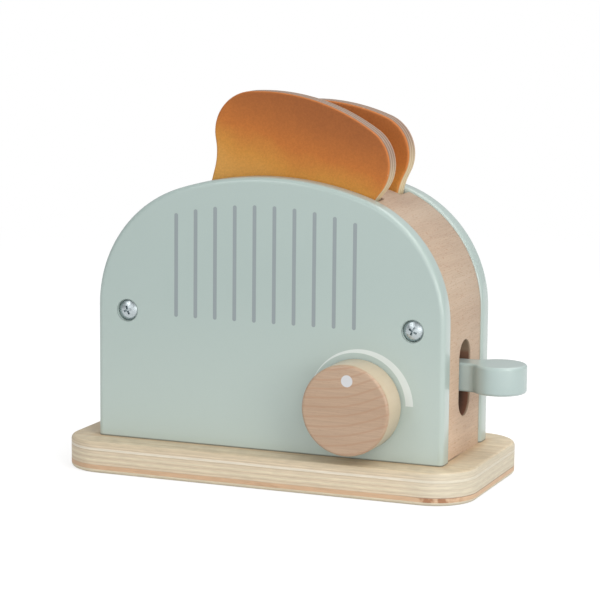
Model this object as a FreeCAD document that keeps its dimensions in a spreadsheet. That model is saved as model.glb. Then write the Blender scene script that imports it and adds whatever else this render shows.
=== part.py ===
import FreeCAD, Part
import math
import os
import re

import Sketcher

# Wooden toy toaster: a plywood base, two lacquered arch panels and a beech core with two
# toast slots. A rocking lever lifts a shelf that both toasts stand on, and a turned knob
# spins in the front panel. X runs to the lever, Y to the rear, Z up. The origin lies in the
# middle of the underside of the base.

# ---------------------------------------------------------------------------------------
# Driving sizes, in millimetres, and in degrees where the name says so
# ---------------------------------------------------------------------------------------

SIZES = {
    # base board
    "base_length": 200,
    "base_depth": 96,
    "base_thickness": 15,
    "base_corner_radius": 20.5,
    "base_edge_radius": 1.8,
    # arched panels
    "panel_width": 170.8,
    "panel_height": 126,
    "panel_thickness": 10,
    "shoulder_radius": 59,
    "crown_radius": 143,
    "panel_edge_radius": 2.2,
    "panel_foot_radius": 0.8,
    # beech core between the panels
    "core_depth": 46,
    "core_inset": 1,
    "toast_slot_length": 97,
    "toast_slot_clearance": 2.5,
    # lever and its slot
    "lever_slot_side_clearance": 1.75,
    "lever_slot_end_clearance": 4.2,
    "lever_slot_lift": 0.45,
    "lever_rise": 36.3,
    "lever_thickness": 13.2,
    "lever_neck_width": 13,
    "lever_disc_radius": 12.5,
    "lever_disc_clearance": 0.4,
    "lever_fillet_radius": 5,
    "lever_edge_radius": 1.4,
    "lever_inner_length": 57.6,
    "lever_swing_degrees": 20,
    "pivot_inset": 23.4,
    "pivot_diameter": 6,
    "pivot_clearance": 0.1,
    # lift
    "shelf_rise": 73,
    "shelf_thickness": 6,
    "shelf_side_gap": 2.5,
    "shelf_face_gap": 1,
    "shelf_headroom": 1,
    "post_width": 20,
    "post_depth": 20,
    "rest_block_width": 16,
    "rest_block_depth": 18,
    "rest_block_offset": 8,
    "running_gap": 0.3,
    "guide_spacing": 64,
    "guide_diameter": 6,
    "guide_clearance": 0.1,
    "guide_embed": 12,
    "guide_overrun": 2,
    # knob
    "knob_inset": 40.6,
    "knob_rise": 25.35,
    "knob_front_diameter": 41.7,
    "knob_rear_diameter": 42,
    "knob_depth": 16.8,
    "knob_front_rim_radius": 1.5,
    "knob_rear_rim_radius": 1,
    "knob_gap": 0.4,
    "spindle_diameter": 8,
    "spindle_bore_depth": 9,
    "spindle_clearance": 0.1,
    "spindle_end_play": 0.3,
    "washer_diameter": 14,
    "washer_thickness": 1.2,
    "knob_screw_length": 14,
    "knob_screw_diameter": 3,
    "knob_screw_head_diameter": 6,
    "knob_screw_head_height": 2,
    "knob_relief_clearance": 2,
    # fasteners
    "screw_inset": 15.1,
    "screw_rise": 60.5,
    "screw_length": 24,
    "screw_diameter": 4.5,
    "screw_head_diameter": 9.4,
    "screw_head_height": 2.9,
    "screw_hole_clearance": 0.25,
    "counterbore_diameter": 10.7,
    "counterbore_depth": 3,
    "recess_width": 1.2,
    "recess_length": 5.2,
    "recess_depth": 1.7,
    "base_screw_length": 32,
    "base_screw_diameter": 4,
    "base_screw_head_diameter": 8,
    "base_screw_head_height": 2.6,
    "base_screw_spacing": 24,
    "shelf_screw_length": 20,
    "shelf_screw_diameter": 3.5,
    "shelf_screw_head_diameter": 8,
    "shelf_screw_head_height": 2.6,
    "shelf_screw_spacing": 10,
    "panel_dowel_diameter": 6,
    "panel_dowel_inset": 19.4,
    "panel_dowel_low": 14,
    "panel_dowel_high": 86,
    "panel_dowel_in_panel": 6,
    "panel_dowel_in_block": 8,
    "divider_dowel_diameter": 6,
    "divider_dowel_length": 24,
    "divider_dowel_rise": 8,
    "divider_dowel_spacing": 10,
    # toasts
    "toast_thickness": 10,
    "toast_lobe_offset": 24.7,
    "toast_lobe_radius": 18.8,
    "toast_crown_radius": 95,
    "toast_waist_radius": 30,
    "toast_waist_depth": 5,
    "toast_body_drop": 61.2,
    "toast_corner_radius": 16,
    "toast_edge_radius": 1,
    "toast_panel_gap": 0.3,
    "toast_front_side_gap": 1.2,
    "toast_front_tilt_degrees": 14.9,
    "toast_rear_side_gap": 2.6,
    "toast_rear_tilt_degrees": 2.3,
}

# Places worked out from the sizes, as formulas that the objects are bound to
CORE_FRONT = "(-core_depth / 2)"
PANEL_FRONT = "(-core_depth / 2 - panel_thickness)"
SLOT_END = "(toast_slot_length / 2)"
BLOCK_SIDE = "(panel_width / 2 - core_inset)"
BLOCK_MIDDLE = "((toast_slot_length / 2 + panel_width / 2 - core_inset) / 2)"
PIVOT_X = "(panel_width / 2 - pivot_inset)"
LEVER_Z = "(base_thickness + lever_rise)"
SHOULDER_X = "(panel_width / 2 - shoulder_radius)"
SHOULDER_RISE = ("(panel_height - crown_radius"
                 f" + sqrt((crown_radius - shoulder_radius)^2 - {SHOULDER_X}^2))")
MOUTH_Z = (f"(base_thickness + {SHOULDER_RISE}"
           f" + sqrt((shoulder_radius - core_inset)^2 - ({SLOT_END} - {SHOULDER_X})^2))")
ARM_HALF_HEIGHT = "(lever_thickness / 2 / cos(lever_swing_degrees))"
LEVER_SLOT_WIDTH = "(lever_neck_width + 2 * lever_slot_side_clearance)"
LEVER_SLOT_BOTTOM = (f"({LEVER_Z} - {ARM_HALF_HEIGHT} - lever_slot_end_clearance"
                     f" + lever_slot_lift - ({BLOCK_SIDE} - {PIVOT_X}) * tan(lever_swing_degrees))")
LEVER_SLOT_TOP = (f"({LEVER_Z} + {ARM_HALF_HEIGHT} + lever_slot_end_clearance"
                  f" + lever_slot_lift + ({PIVOT_X} - {SLOT_END}) * tan(lever_swing_degrees))")
DISC_REACH = (f"(({BLOCK_SIDE} - {PIVOT_X} + lever_disc_clearance"
              " + lever_thickness / 2 * sin(lever_swing_degrees))"
              " / cos(lever_swing_degrees) + lever_disc_radius)")
LIFT_ARM = "(lever_inner_length - lever_edge_radius)"
LIFT_TRAVEL = "((lever_inner_length - lever_edge_radius) * lever_swing_degrees * pi / 180)"
LIFT_X = "(panel_width / 2 - pivot_inset - lever_inner_length + lever_edge_radius)"
KNOB_X = "(panel_width / 2 - knob_inset)"
SHELF_TOP = "(base_thickness + shelf_rise)"
SHELF_UNDERSIDE = "(base_thickness + shelf_rise - shelf_thickness)"
ARM_TOP = "(base_thickness + lever_rise + lever_thickness / 2)"
ARM_UNDERSIDE = "(base_thickness + lever_rise - lever_thickness / 2)"
DIVIDER_UNDERSIDE = f"({SHELF_TOP} + {LIFT_TRAVEL} + shelf_headroom)"
TOAST_SLOT_WIDTH = "(toast_thickness + toast_slot_clearance)"
DIVIDER_THICKNESS = f"(core_depth - 2 * {TOAST_SLOT_WIDTH})"
TOAST_HALF = "(toast_lobe_offset + toast_lobe_radius - toast_waist_depth)"
WAIST_X = f"({TOAST_HALF} + toast_waist_radius)"
WAIST_Z = (f"(-sqrt((toast_lobe_radius + toast_waist_radius)^2"
           f" - ({WAIST_X} - toast_lobe_offset)^2))")
TOOL_OVERRUN = "5"

doc = FreeCAD.newDocument("toy_toaster")
sheet = doc.addObject("Spreadsheet::Sheet", "Sizes")
for row, (alias, number) in enumerate(SIZES.items(), start=1):
    sheet.set(f"A{row}", alias.replace("_", " "))
    sheet.set(f"B{row}", str(number))
    sheet.setAlias(f"B{row}", alias)
doc.recompute()


# ---------------------------------------------------------------------------------------
# Helpers: formulas, placement, primitives, sketches
# ---------------------------------------------------------------------------------------

def formula(text):
    """Turns the plain names in a formula into references to the sheet's cells."""
    def reference(match):
        word = match.group(0)
        return "Sizes." + word if word in SIZES else word
    return re.sub(r"[a-z][a-z_]*", reference, str(text))


def value(text):
    """The number that a formula gives with the present sizes."""
    result = sheet.evalExpression(formula(text))
    return float(getattr(result, "Value", result))


def bind(thing, prop, text):
    thing.setExpression(prop, formula(text))


TURNS = {
    "z": FreeCAD.Rotation(),
    "-z": FreeCAD.Rotation(FreeCAD.Vector(1, 0, 0), 180),
    "x": FreeCAD.Rotation(FreeCAD.Vector(0, 1, 0), 90),
    "y": FreeCAD.Rotation(FreeCAD.Vector(1, 0, 0), -90),
    "-y": FreeCAD.Rotation(FreeCAD.Vector(1, 0, 0), 90),
}


def put(thing, place, rotation=TURNS["z"]):
    """Turns an object, then binds its place to three formulas."""
    corner = FreeCAD.Vector(*(value(text) for text in place))
    thing.Placement = FreeCAD.Placement(corner, rotation)
    for axis, text in zip("xyz", place):
        bind(thing, f"Placement.Base.{axis}", text)


def box(label, corner, dimensions):
    solid = doc.addObject("Part::Box", label)
    solid.Label = label
    for prop, text in zip(("Length", "Width", "Height"), dimensions):
        bind(solid, prop, text)
    put(solid, corner)
    return solid


def cylinder(label, diameter, length, place, direction):
    solid = doc.addObject("Part::Cylinder", label)
    solid.Label = label
    bind(solid, "Radius", f"({diameter}) / 2")
    bind(solid, "Height", length)
    put(solid, place, TURNS[direction])
    return solid


def group(label, members):
    together = doc.addObject("Part::Compound", label)
    together.Label = label
    together.Links = members
    return together


def fuse(label, members):
    joined = doc.addObject("Part::MultiFuse", label)
    joined.Label = label
    joined.Shapes = members
    return joined


def cut(label, base, tools):
    result = doc.addObject("Part::Cut", label)
    result.Label = label
    result.Base = base
    result.Tool = group(label + "_tools", tools)
    return result


def common(label, first, second):
    result = doc.addObject("Part::Common", label)
    result.Label = label
    result.Base = first
    result.Tool = second
    return result


def new_body(label):
    body = doc.addObject("PartDesign::Body", label)
    body.Label = label
    return body


def origin_plane(body, role):
    return next(f for f in body.Origin.OriginFeatures if f.Role == role)


def new_sketch(owner, name, role="XZ_Plane"):
    """A sketch on one of a body's origin planes, or on its own on the XZ plane."""
    if owner is None:
        sketch = doc.addObject("Sketcher::SketchObject", name)
        sketch.Placement = FreeCAD.Placement(FreeCAD.Vector(), TURNS["-y"])
    else:
        sketch = owner.newObject("Sketcher::SketchObject", name)
        sketch.AttachmentSupport = [(origin_plane(owner, role), "")]
        sketch.MapMode = "FlatFace"
    return sketch


def point(x, y):
    return FreeCAD.Vector(x, y, 0)


def draw_loop(sketch, segments, smooth):
    """Draws a closed loop. A segment is two points, or a centre, radius and two angles.

    An arc whose angle falls runs clockwise. smooth holds the numbers of the segments that
    run on into the next one without a corner.
    """
    ends = []
    for segment in segments:
        if len(segment) == 2:
            sketch.addGeometry(Part.LineSegment(point(*segment[0]), point(*segment[1])), False)
            ends.append((1, 2))
        else:
            centre, radius, start, finish = segment
            circle = Part.Circle(point(*centre), FreeCAD.Vector(0, 0, 1), radius)
            low, high = min(start, finish), max(start, finish)
            sketch.addGeometry(Part.ArcOfCircle(circle, low, high), False)
            ends.append((1, 2) if finish > start else (2, 1))
    for i in range(len(segments)):
        following = (i + 1) % len(segments)
        kind = "Tangent" if i in smooth else "Coincident"
        joint = (i, ends[i][1], following, ends[following][0])
        sketch.addConstraint(Sketcher.Constraint(kind, *joint))


def dimension(sketch, kind, references, text):
    """Adds a dimension that follows a formula. A negative one is measured the other way."""
    number = value(text)
    if kind in ("DistanceX", "DistanceY") and number < 0:
        references = references[2:] + references[:2]
        text, number = f"-({text})", -number
    index = sketch.addConstraint(Sketcher.Constraint(kind, *references, number))
    sketch.setExpression(f"Constraints[{index}]", formula(text))


def place_point(sketch, geometry, position, x, y):
    """Fixes a point of the sketch at two formulas; a zero puts it on the axis."""
    for kind, axis, text in (("DistanceX", -2, x), ("DistanceY", -1, y)):
        if text == "0":
            sketch.addConstraint(Sketcher.Constraint("PointOnObject", geometry, position, axis))
        else:
            dimension(sketch, kind, (-1, 1, geometry, position), text)


def polygon(sketch, corners):
    """A closed polygon whose corners are pairs of formulas."""
    spots = [(value(x), value(y)) for x, y in corners]
    sides = [(spots[i], spots[(i + 1) % len(spots)]) for i in range(len(spots))]
    draw_loop(sketch, sides, smooth=())
    for i, (x, y) in enumerate(corners):
        place_point(sketch, i, 1, x, y)


def circles(sketch, holes):
    """Full circles, each an x, a y and a diameter as formulas."""
    for i, (x, y, diameter) in enumerate(holes):
        centre = point(value(x), value(y))
        circle = Part.Circle(centre, FreeCAD.Vector(0, 0, 1), value(diameter) / 2)
        sketch.addGeometry(circle, False)
        place_point(sketch, i, 3, x, y)
        dimension(sketch, "Diameter", (i,), diameter)


def pad(body, sketch, length, midplane=False):
    feature = body.newObject("PartDesign::Pad", sketch.Name + "_pad")
    feature.Profile = sketch
    feature.Midplane = midplane
    bind(feature, "Length", length)
    doc.recompute()
    return feature


def pocket(body, name, role, holes, depth=None, offset=None, flip=False, midplane=False):
    """Cuts round holes; with no depth they go right through."""
    sketch = new_sketch(body, name, role)
    circles(sketch, holes)
    if offset is not None:
        bind(sketch, "AttachmentOffset.Base.z", offset)
    before = body.Shape.Volume
    feature = body.newObject("PartDesign::Pocket", name + "_pocket")
    feature.Profile = sketch
    feature.Reversed = flip
    feature.Midplane = midplane
    if depth is None:
        feature.Type = 1
    else:
        bind(feature, "Length", depth)
    doc.recompute()
    if not body.Shape.Volume < before:
        raise RuntimeError(f"{name} cut nothing")
    return feature


def revolve(body, sketch):
    feature = body.newObject("PartDesign::Revolution", sketch.Name + "_turn")
    feature.Profile = sketch
    feature.ReferenceAxis = (origin_plane(body, "Z_Axis"), [""])
    feature.Angle = 360
    doc.recompute()
    return feature


def round_edges(body, feature, name, radius, chosen):
    """Fillets the edges of a feature for which chosen(edge) is true."""
    names = [f"Edge{i}" for i, edge in enumerate(feature.Shape.Edges, start=1) if chosen(edge)]
    if not names:
        raise RuntimeError(f"{name} found no edge")
    fillet = body.newObject("PartDesign::Fillet", name)
    fillet.Base = (feature, names)
    bind(fillet, "Radius", radius)
    doc.recompute()
    return fillet


def lies_at(edge, axis, level):
    """True when the whole edge lies at one level of an axis."""
    box_of_edge = edge.BoundBox
    low = getattr(box_of_edge, axis + "Min")
    high = getattr(box_of_edge, axis + "Max")
    return abs(low - level) < NEAR and abs(high - level) < NEAR


NEAR = 0.001


# ---------------------------------------------------------------------------------------
# Fasteners: turned from one half profile each, then placed
# ---------------------------------------------------------------------------------------

def turned(label, sketch, place, direction):
    """A solid turned about the vertical axis of a sketch, put where its head bears."""
    solid = doc.addObject("Part::Revolution", label)
    solid.Label = label
    solid.Source = sketch
    solid.Axis = FreeCAD.Vector(0, 0, 1)
    solid.Solid = True
    put(solid, place, TURNS[direction])
    return solid


def pan_head_profile(name, shank, length, head, height):
    """Half of a wood screw with a domed pan head: shank below zero, head above."""
    shank_radius, head_radius = f"{shank} / 2", f"{head} / 2"
    rim = f"{height} * 0.35"
    dome = f"({height} * 0.65)"
    dome_radius = f"(({head_radius})^2 + {dome}^2) / (2 * {dome})"
    top = value(height)
    radius = value(dome_radius)
    rim_angle = math.atan2(value(rim) - (top - radius), value(head_radius))
    corners = [
        ("0", f"-{length}"),
        (shank_radius, f"-{length} + {shank}"),
        (shank_radius, "0"),
        (head_radius, "0"),
        (head_radius, rim),
        ("0", height),
    ]
    spots = [(value(x), value(y)) for x, y in corners]
    sides = [(spots[i], spots[i + 1]) for i in range(4)]
    sides.append(((0, top - radius), radius, rim_angle, math.pi / 2))
    sides.append((spots[5], spots[0]))
    sketch = new_sketch(None, name)
    draw_loop(sketch, sides, smooth=())
    for i, (x, y) in enumerate(corners[:5]):
        if i < 4:
            place_point(sketch, i, 1, x, y)
        else:
            place_point(sketch, 3, 2, x, y)
    place_point(sketch, 5, 1, *corners[5])
    dimension(sketch, "Radius", (4,), dome_radius)
    return sketch


def countersunk_profile(name, shank, length, head, height):
    """Half of a countersunk wood screw whose flat head is level with zero."""
    sketch = new_sketch(None, name)
    polygon(sketch, [
        ("0", f"-{length}"),
        (f"{shank} / 2", f"-{length} + {shank}"),
        (f"{shank} / 2", f"-{height}"),
        (f"{head} / 2", "0"),
        ("0", "0"),
    ])
    return sketch


def cross_recess(label, place, direction):
    """The two crossed slots of a screw head, sunk from the point where its head is highest."""
    arms = []
    spans = (("recess_length", "recess_width"), ("recess_width", "recess_length"))
    sink = {"z": (0, 0, 1), "y": (0, 1, 0), "-y": (0, -1, 0), "-z": (0, 0, -1)}[direction]
    for number, (wide, deep) in enumerate(spans, start=1):
        arm = doc.addObject("Part::Box", f"{label}_arm_{number}")
        bind(arm, "Length", wide)
        bind(arm, "Width", deep)
        bind(arm, "Height", "recess_depth + 1")
        middle = TURNS[direction].multVec(FreeCAD.Vector(value(wide) / 2, value(deep) / 2, 0))
        middle = middle + FreeCAD.Vector(*sink) * value("recess_depth")
        corner = [f"({text}) - ({middle[i]})" for i, text in enumerate(place)]
        put(arm, corner, TURNS[direction])
        arms.append(arm)
    return fuse(label, arms)


def panel_screws(label, face, direction):
    """Two pan-head screws, left and right, that hold one panel to the blocks."""
    shaped = []
    outward = "-1" if direction == "-y" else "1"
    floor = f"({face} - {outward} * counterbore_depth)"
    crown = f"({floor} + {outward} * screw_head_height)"
    for side, sign in (("left", "-1"), ("right", "1")):
        across = f"{sign} * (panel_width / 2 - screw_inset)"
        up = "base_thickness + screw_rise"
        blank = turned(f"{label}_{side}_blank", PAN_HEAD, (across, floor, up), direction)
        recess = cross_recess(f"{label}_{side}_recess", (across, crown, up), direction)
        shaped.append(cut(f"{label}_{side}", blank, [recess]))
    return group(label, shaped)


PAN_HEAD = pan_head_profile(
    "panel_screw_profile", "screw_diameter", "screw_length",
    "screw_head_diameter", "screw_head_height")
front_panel_screws = panel_screws("front_panel_screws", PANEL_FRONT, "-y")
rear_panel_screws = panel_screws("rear_panel_screws", f"(-{PANEL_FRONT})", "y")


def base_screws():
    """Four countersunk screws up into the side blocks, and one into the rest block."""
    profile = countersunk_profile(
        "base_screw_profile", "base_screw_diameter", "base_screw_length",
        "base_screw_head_diameter", "base_screw_head_height")
    spots = [(f"{x} * {BLOCK_MIDDLE}", f"{y} * base_screw_spacing / 2")
             for x in (-1, 1) for y in (-1, 1)]
    spots.append((f"{LIFT_X} + rest_block_offset", "0"))
    screws = [turned(f"base_screw_{n}", profile, (x, y, "0"), "-z")
              for n, (x, y) in enumerate(spots, start=1)]
    return group("base_screws", screws)


def shelf_screws():
    """Two countersunk screws down through the shelf into the post."""
    profile = countersunk_profile(
        "shelf_screw_profile", "shelf_screw_diameter", "shelf_screw_length",
        "shelf_screw_head_diameter", "shelf_screw_head_height")
    screws = [turned(f"shelf_screw_{n}", profile,
                     (f"{LIFT_X} + {side} * shelf_screw_spacing / 2", "0", SHELF_TOP), "z")
              for n, side in enumerate((-1, 1), start=1)]
    return group("shelf_screws", screws)


def panel_dowels():
    """Eight dowels that locate the panels on the blocks."""
    dowels = []
    length = "panel_dowel_in_panel + panel_dowel_in_block"
    for x in (-1, 1):
        for level in ("panel_dowel_low", "panel_dowel_high"):
            across = f"{x} * (panel_width / 2 - panel_dowel_inset)"
            up = f"base_thickness + {level}"
            starts = (f"{CORE_FRONT} - panel_dowel_in_panel", "core_depth / 2 - panel_dowel_in_block")
            for start in starts:
                name = f"panel_dowel_{len(dowels) + 1}"
                spot = (across, start, up)
                dowels.append(cylinder(name, "panel_dowel_diameter", length, spot, "y"))
    return group("panel_dowels", dowels)


def divider_dowels():
    """Four dowels that join the ends of the divider to the blocks."""
    dowels = []
    up = f"{DIVIDER_UNDERSIDE} + divider_dowel_rise"
    for x in (-1, 1):
        for y in (-1, 1):
            start = f"{x} * {SLOT_END} - divider_dowel_length / 2"
            spot = (start, f"{y} * divider_dowel_spacing / 2", up)
            name = f"divider_dowel_{len(dowels) + 1}"
            dowels.append(cylinder(
                name, "divider_dowel_diameter", "divider_dowel_length", spot, "x"))
    return group("divider_dowels", dowels)


def guide_pins():
    """Two steel pins that hang from the divider and steer the shelf."""
    length = f"guide_embed + {DIVIDER_UNDERSIDE} - {SHELF_UNDERSIDE} + guide_overrun"
    low = f"{SHELF_UNDERSIDE} - guide_overrun"
    pins = [cylinder(f"guide_pin_{n}", "guide_diameter", length,
                     (f"{side} * guide_spacing / 2", "0", low), "z")
            for n, side in enumerate((-1, 1), start=1)]
    return group("guide_pins", pins)


base_screws = base_screws()
shelf_screws = shelf_screws()
panel_dowels = panel_dowels()
divider_dowels = divider_dowels()
guide_pins = guide_pins()
pivot_pin = cylinder("pivot_pin", "pivot_diameter", "core_depth", (PIVOT_X, CORE_FRONT, LEVER_Z), "y")


# ---------------------------------------------------------------------------------------
# Arch outline, shared by the panels and, drawn in by the inset, by the core
# ---------------------------------------------------------------------------------------

def draw_arch(sketch, inset):
    """Straight sides that run into shoulder arcs and one flat crown arc."""
    width = f"(panel_width - 2 * {inset})"
    shoulder = f"(shoulder_radius - {inset})"
    crown = f"(crown_radius - {inset})"
    half, small, large = value(width) / 2, value(shoulder), value(crown)
    crown_centre = value("panel_height - crown_radius")
    across = half - small
    shoulder_centre = crown_centre + math.sqrt((large - small) ** 2 - across ** 2)
    lean = math.atan2(shoulder_centre - crown_centre, across)
    draw_loop(sketch, [
        ((-half, 0), (half, 0)),
        ((half, 0), (half, shoulder_centre)),
        ((across, shoulder_centre), small, 0, lean),
        ((0, crown_centre), large, lean, math.pi - lean),
        ((-across, shoulder_centre), small, math.pi - lean, math.pi),
        ((-half, shoulder_centre), (-half, 0)),
    ], smooth=(1, 2, 3, 4))
    for constraint in (
        ("Symmetric", 0, 1, 0, 2, -2),
        ("PointOnObject", 0, 1, -1),
        ("Vertical", 1),
        ("Vertical", 5),
        ("Equal", 2, 4),
        ("PointOnObject", 3, 3, -2),
    ):
        sketch.addConstraint(Sketcher.Constraint(*constraint))
    dimension(sketch, "DistanceX", (0, 1, 0, 2), width)
    dimension(sketch, "Radius", (2,), shoulder)
    dimension(sketch, "Radius", (3,), crown)
    dimension(sketch, "DistanceY", (-1, 1, 3, 3), "panel_height - crown_radius")


def panel(label, with_knob):
    """An arched panel, drawn with its outer face towards -Y and its inner face at zero."""
    body = new_body(label)
    outline = new_sketch(body, label + "_outline")
    draw_arch(outline, "0")
    plate = pad(body, outline, "panel_thickness")
    thickness = value("panel_thickness")

    def on_rim(edge):
        on_face = lies_at(edge, "Y", 0) or lies_at(edge, "Y", -thickness)
        return on_face and not lies_at(edge, "Z", 0)

    rim = round_edges(body, plate, label + "_rim", "panel_edge_radius", on_rim)
    round_edges(body, rim, label + "_foot", "panel_foot_radius",
                lambda edge: lies_at(edge, "Z", 0))
    sides = [f"{sign} * (panel_width / 2 - screw_inset)" for sign in (-1, 1)]
    dowel_sides = [f"{sign} * (panel_width / 2 - panel_dowel_inset)" for sign in (-1, 1)]
    through = [(x, "screw_rise", "screw_diameter + 2 * screw_hole_clearance") for x in sides]
    if with_knob:
        through.append((KNOB_X, "knob_rise", "spindle_diameter + 2 * spindle_clearance"))
    pocket(body, label + "_holes", "XZ_Plane", through, flip=True)
    sunk = [(x, "screw_rise", "counterbore_diameter") for x in sides]
    pocket(body, label + "_counterbores", "XZ_Plane", sunk,
           depth="counterbore_depth", offset="panel_thickness")
    blind = [(x, level, "panel_dowel_diameter")
             for x in dowel_sides for level in ("panel_dowel_low", "panel_dowel_high")]
    pocket(body, label + "_dowel_holes", "XZ_Plane", blind,
           depth="panel_dowel_in_panel", flip=True)
    return body


front_panel = panel("front_panel", with_knob=True)
put(front_panel, ("0", CORE_FRONT, "base_thickness"))
rear_panel = panel("rear_panel", with_knob=False)
put(rear_panel, ("0", "core_depth / 2", "base_thickness"),
    FreeCAD.Rotation(FreeCAD.Vector(0, 0, 1), 180))


# ---------------------------------------------------------------------------------------
# Base board
# ---------------------------------------------------------------------------------------

def base_board():
    """Plywood board with round corners and eased edges."""
    body = new_body("base_blank")
    outline = new_sketch(body, "base_outline", "XY_Plane")
    half_length, half_depth = "base_length / 2", "base_depth / 2"
    polygon(outline, [
        (f"-{half_length}", f"-{half_depth}"),
        (half_length, f"-{half_depth}"),
        (half_length, half_depth),
        (f"-{half_length}", half_depth),
    ])
    board = pad(body, outline, "base_thickness")
    thickness = value("base_thickness")
    corners = round_edges(
        body, board, "base_corners", "base_corner_radius",
        lambda edge: edge.BoundBox.ZLength > thickness - NEAR)
    round_edges(
        body, corners, "base_edges", "base_edge_radius",
        lambda edge: lies_at(edge, "Z", 0) or lies_at(edge, "Z", thickness))
    return cut("base_board", body, [base_screws])


base_board = base_board()


# ---------------------------------------------------------------------------------------
# Beech core: side blocks and divider, all cut from the one arched blank
# ---------------------------------------------------------------------------------------

def core_piece(label, corner, dimensions):
    """The part of the arched core that lies inside a box."""
    return common(label, core_blank, box(label + "_limits", corner, dimensions))


def core_blank():
    """The whole arched core, as thick as the space between the panels."""
    body = new_body("core_blank")
    outline = new_sketch(body, "core_outline")
    draw_arch(outline, "core_inset")
    pad(body, outline, "core_depth", midplane=True)
    put(body, ("0", "0", "base_thickness"))
    return body


def side_block_blank(label, left):
    """One side of the core, from the end of the toast slots outwards."""
    start = f"-({BLOCK_SIDE} + {TOOL_OVERRUN})" if left else SLOT_END
    width = f"{BLOCK_SIDE} + {TOOL_OVERRUN} - {SLOT_END}"
    size = (width, "core_depth", "base_thickness + panel_height")
    return core_piece(label, (start, CORE_FRONT, "0"), size)


def lever_slot():
    """The tall slot with round ends that runs through the right block to the lift."""
    start = f"{SLOT_END} - {TOOL_OVERRUN}"
    length = f"{BLOCK_SIDE} - {SLOT_END} + 2 * {TOOL_OVERRUN}"
    low = f"({LEVER_SLOT_BOTTOM} + {LEVER_SLOT_WIDTH} / 2)"
    high = f"({LEVER_SLOT_TOP} - {LEVER_SLOT_WIDTH} / 2)"
    middle = box("lever_slot_middle", (start, f"-{LEVER_SLOT_WIDTH} / 2", low),
                 (length, LEVER_SLOT_WIDTH, f"{high} - {low}"))
    ends = [cylinder(f"lever_slot_{name}", LEVER_SLOT_WIDTH, length, (start, "0", level), "x")
            for name, level in (("bottom", low), ("top", high))]
    return fuse("lever_slot", [middle] + ends)


def knob_relief():
    """Room in the right block for the washer and screw behind the knob."""
    depth = "spindle_end_play + washer_thickness + knob_screw_head_height + knob_relief_clearance"
    return cylinder("knob_relief", "washer_diameter + 2 * knob_relief_clearance",
                    f"{depth} + {TOOL_OVERRUN}",
                    (KNOB_X, f"{CORE_FRONT} - {TOOL_OVERRUN}", "base_thickness + knob_rise"),
                    "y")


core_blank = core_blank()
fixings = [front_panel_screws, rear_panel_screws, base_screws, panel_dowels, divider_dowels]
left_block = cut("left_block", side_block_blank("left_block_blank", left=True), fixings)
right_block = cut("right_block", side_block_blank("right_block_blank", left=False),
                  fixings + [pivot_pin, lever_slot(), knob_relief()])
divider_blank = core_piece(
    "centre_divider_blank",
    (f"-{SLOT_END}", f"-{DIVIDER_THICKNESS} / 2", DIVIDER_UNDERSIDE),
    ("toast_slot_length", DIVIDER_THICKNESS, "panel_height"))
centre_divider = cut("centre_divider", divider_blank, [divider_dowels, guide_pins])
rest_blank = box("rest_block_blank",
                 (f"{LIFT_X} + rest_block_offset - rest_block_width / 2",
                  "-rest_block_depth / 2", "base_thickness"),
                 ("rest_block_width", "rest_block_depth",
                  f"{ARM_UNDERSIDE} - running_gap - base_thickness"))
rest_block = cut("rest_block", rest_blank, [base_screws])


# ---------------------------------------------------------------------------------------
# Lever: a disc and neck outside, an arm inside, rocking on the pivot pin
# ---------------------------------------------------------------------------------------

def draw_lever(sketch):
    """Plan of the lever with the pivot at zero and the disc towards +X."""
    half, fillet = value("lever_neck_width / 2"), value("lever_fillet_radius")
    disc, centre = value("lever_disc_radius"), value(DISC_REACH)
    inner = value("lever_inner_length")
    across = half + fillet
    fillet_x = centre - math.sqrt((disc + fillet) ** 2 - across ** 2)
    lean = math.atan2(across, centre - fillet_x)
    draw_loop(sketch, [
        ((-inner, -half), (fillet_x, -half)),
        ((fillet_x, -across), fillet, math.pi / 2, lean),
        ((centre, 0), disc, lean - math.pi, math.pi - lean),
        ((fillet_x, across), fillet, -lean, -math.pi / 2),
        ((fillet_x, half), (-inner, half)),
        ((-inner, half), (-inner, -half)),
    ], smooth=(0, 1, 2, 3))
    for constraint in (
        ("Horizontal", 0),
        ("Horizontal", 4),
        ("Vertical", 5),
        ("Equal", 1, 3),
        ("PointOnObject", 2, 3, -1),
    ):
        sketch.addConstraint(Sketcher.Constraint(*constraint))
    dimension(sketch, "DistanceY", (0, 1, -1, 1), "lever_neck_width / 2")
    dimension(sketch, "DistanceY", (-1, 1, 4, 1), "lever_neck_width / 2")
    dimension(sketch, "DistanceX", (5, 1, -1, 1), "lever_inner_length")
    dimension(sketch, "Radius", (1,), "lever_fillet_radius")
    dimension(sketch, "Radius", (2,), "lever_disc_radius")
    dimension(sketch, "DistanceX", (-1, 1, 2, 3), DISC_REACH)


def lever():
    body = new_body("lever")
    plan = new_sketch(body, "lever_plan", "XY_Plane")
    draw_lever(plan)
    bar = pad(body, plan, "lever_thickness", midplane=True)
    half = value("lever_thickness / 2")
    round_edges(body, bar, "lever_rim", "lever_edge_radius",
                lambda edge: lies_at(edge, "Z", half) or lies_at(edge, "Z", -half))
    bore = [("0", "0", "pivot_diameter + 2 * pivot_clearance")]
    pocket(body, "lever_bore", "XZ_Plane", bore, midplane=True)
    put(body, (PIVOT_X, "0", LEVER_Z))
    return body


lever = lever()


# ---------------------------------------------------------------------------------------
# Lift: shelf and post
# ---------------------------------------------------------------------------------------

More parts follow.
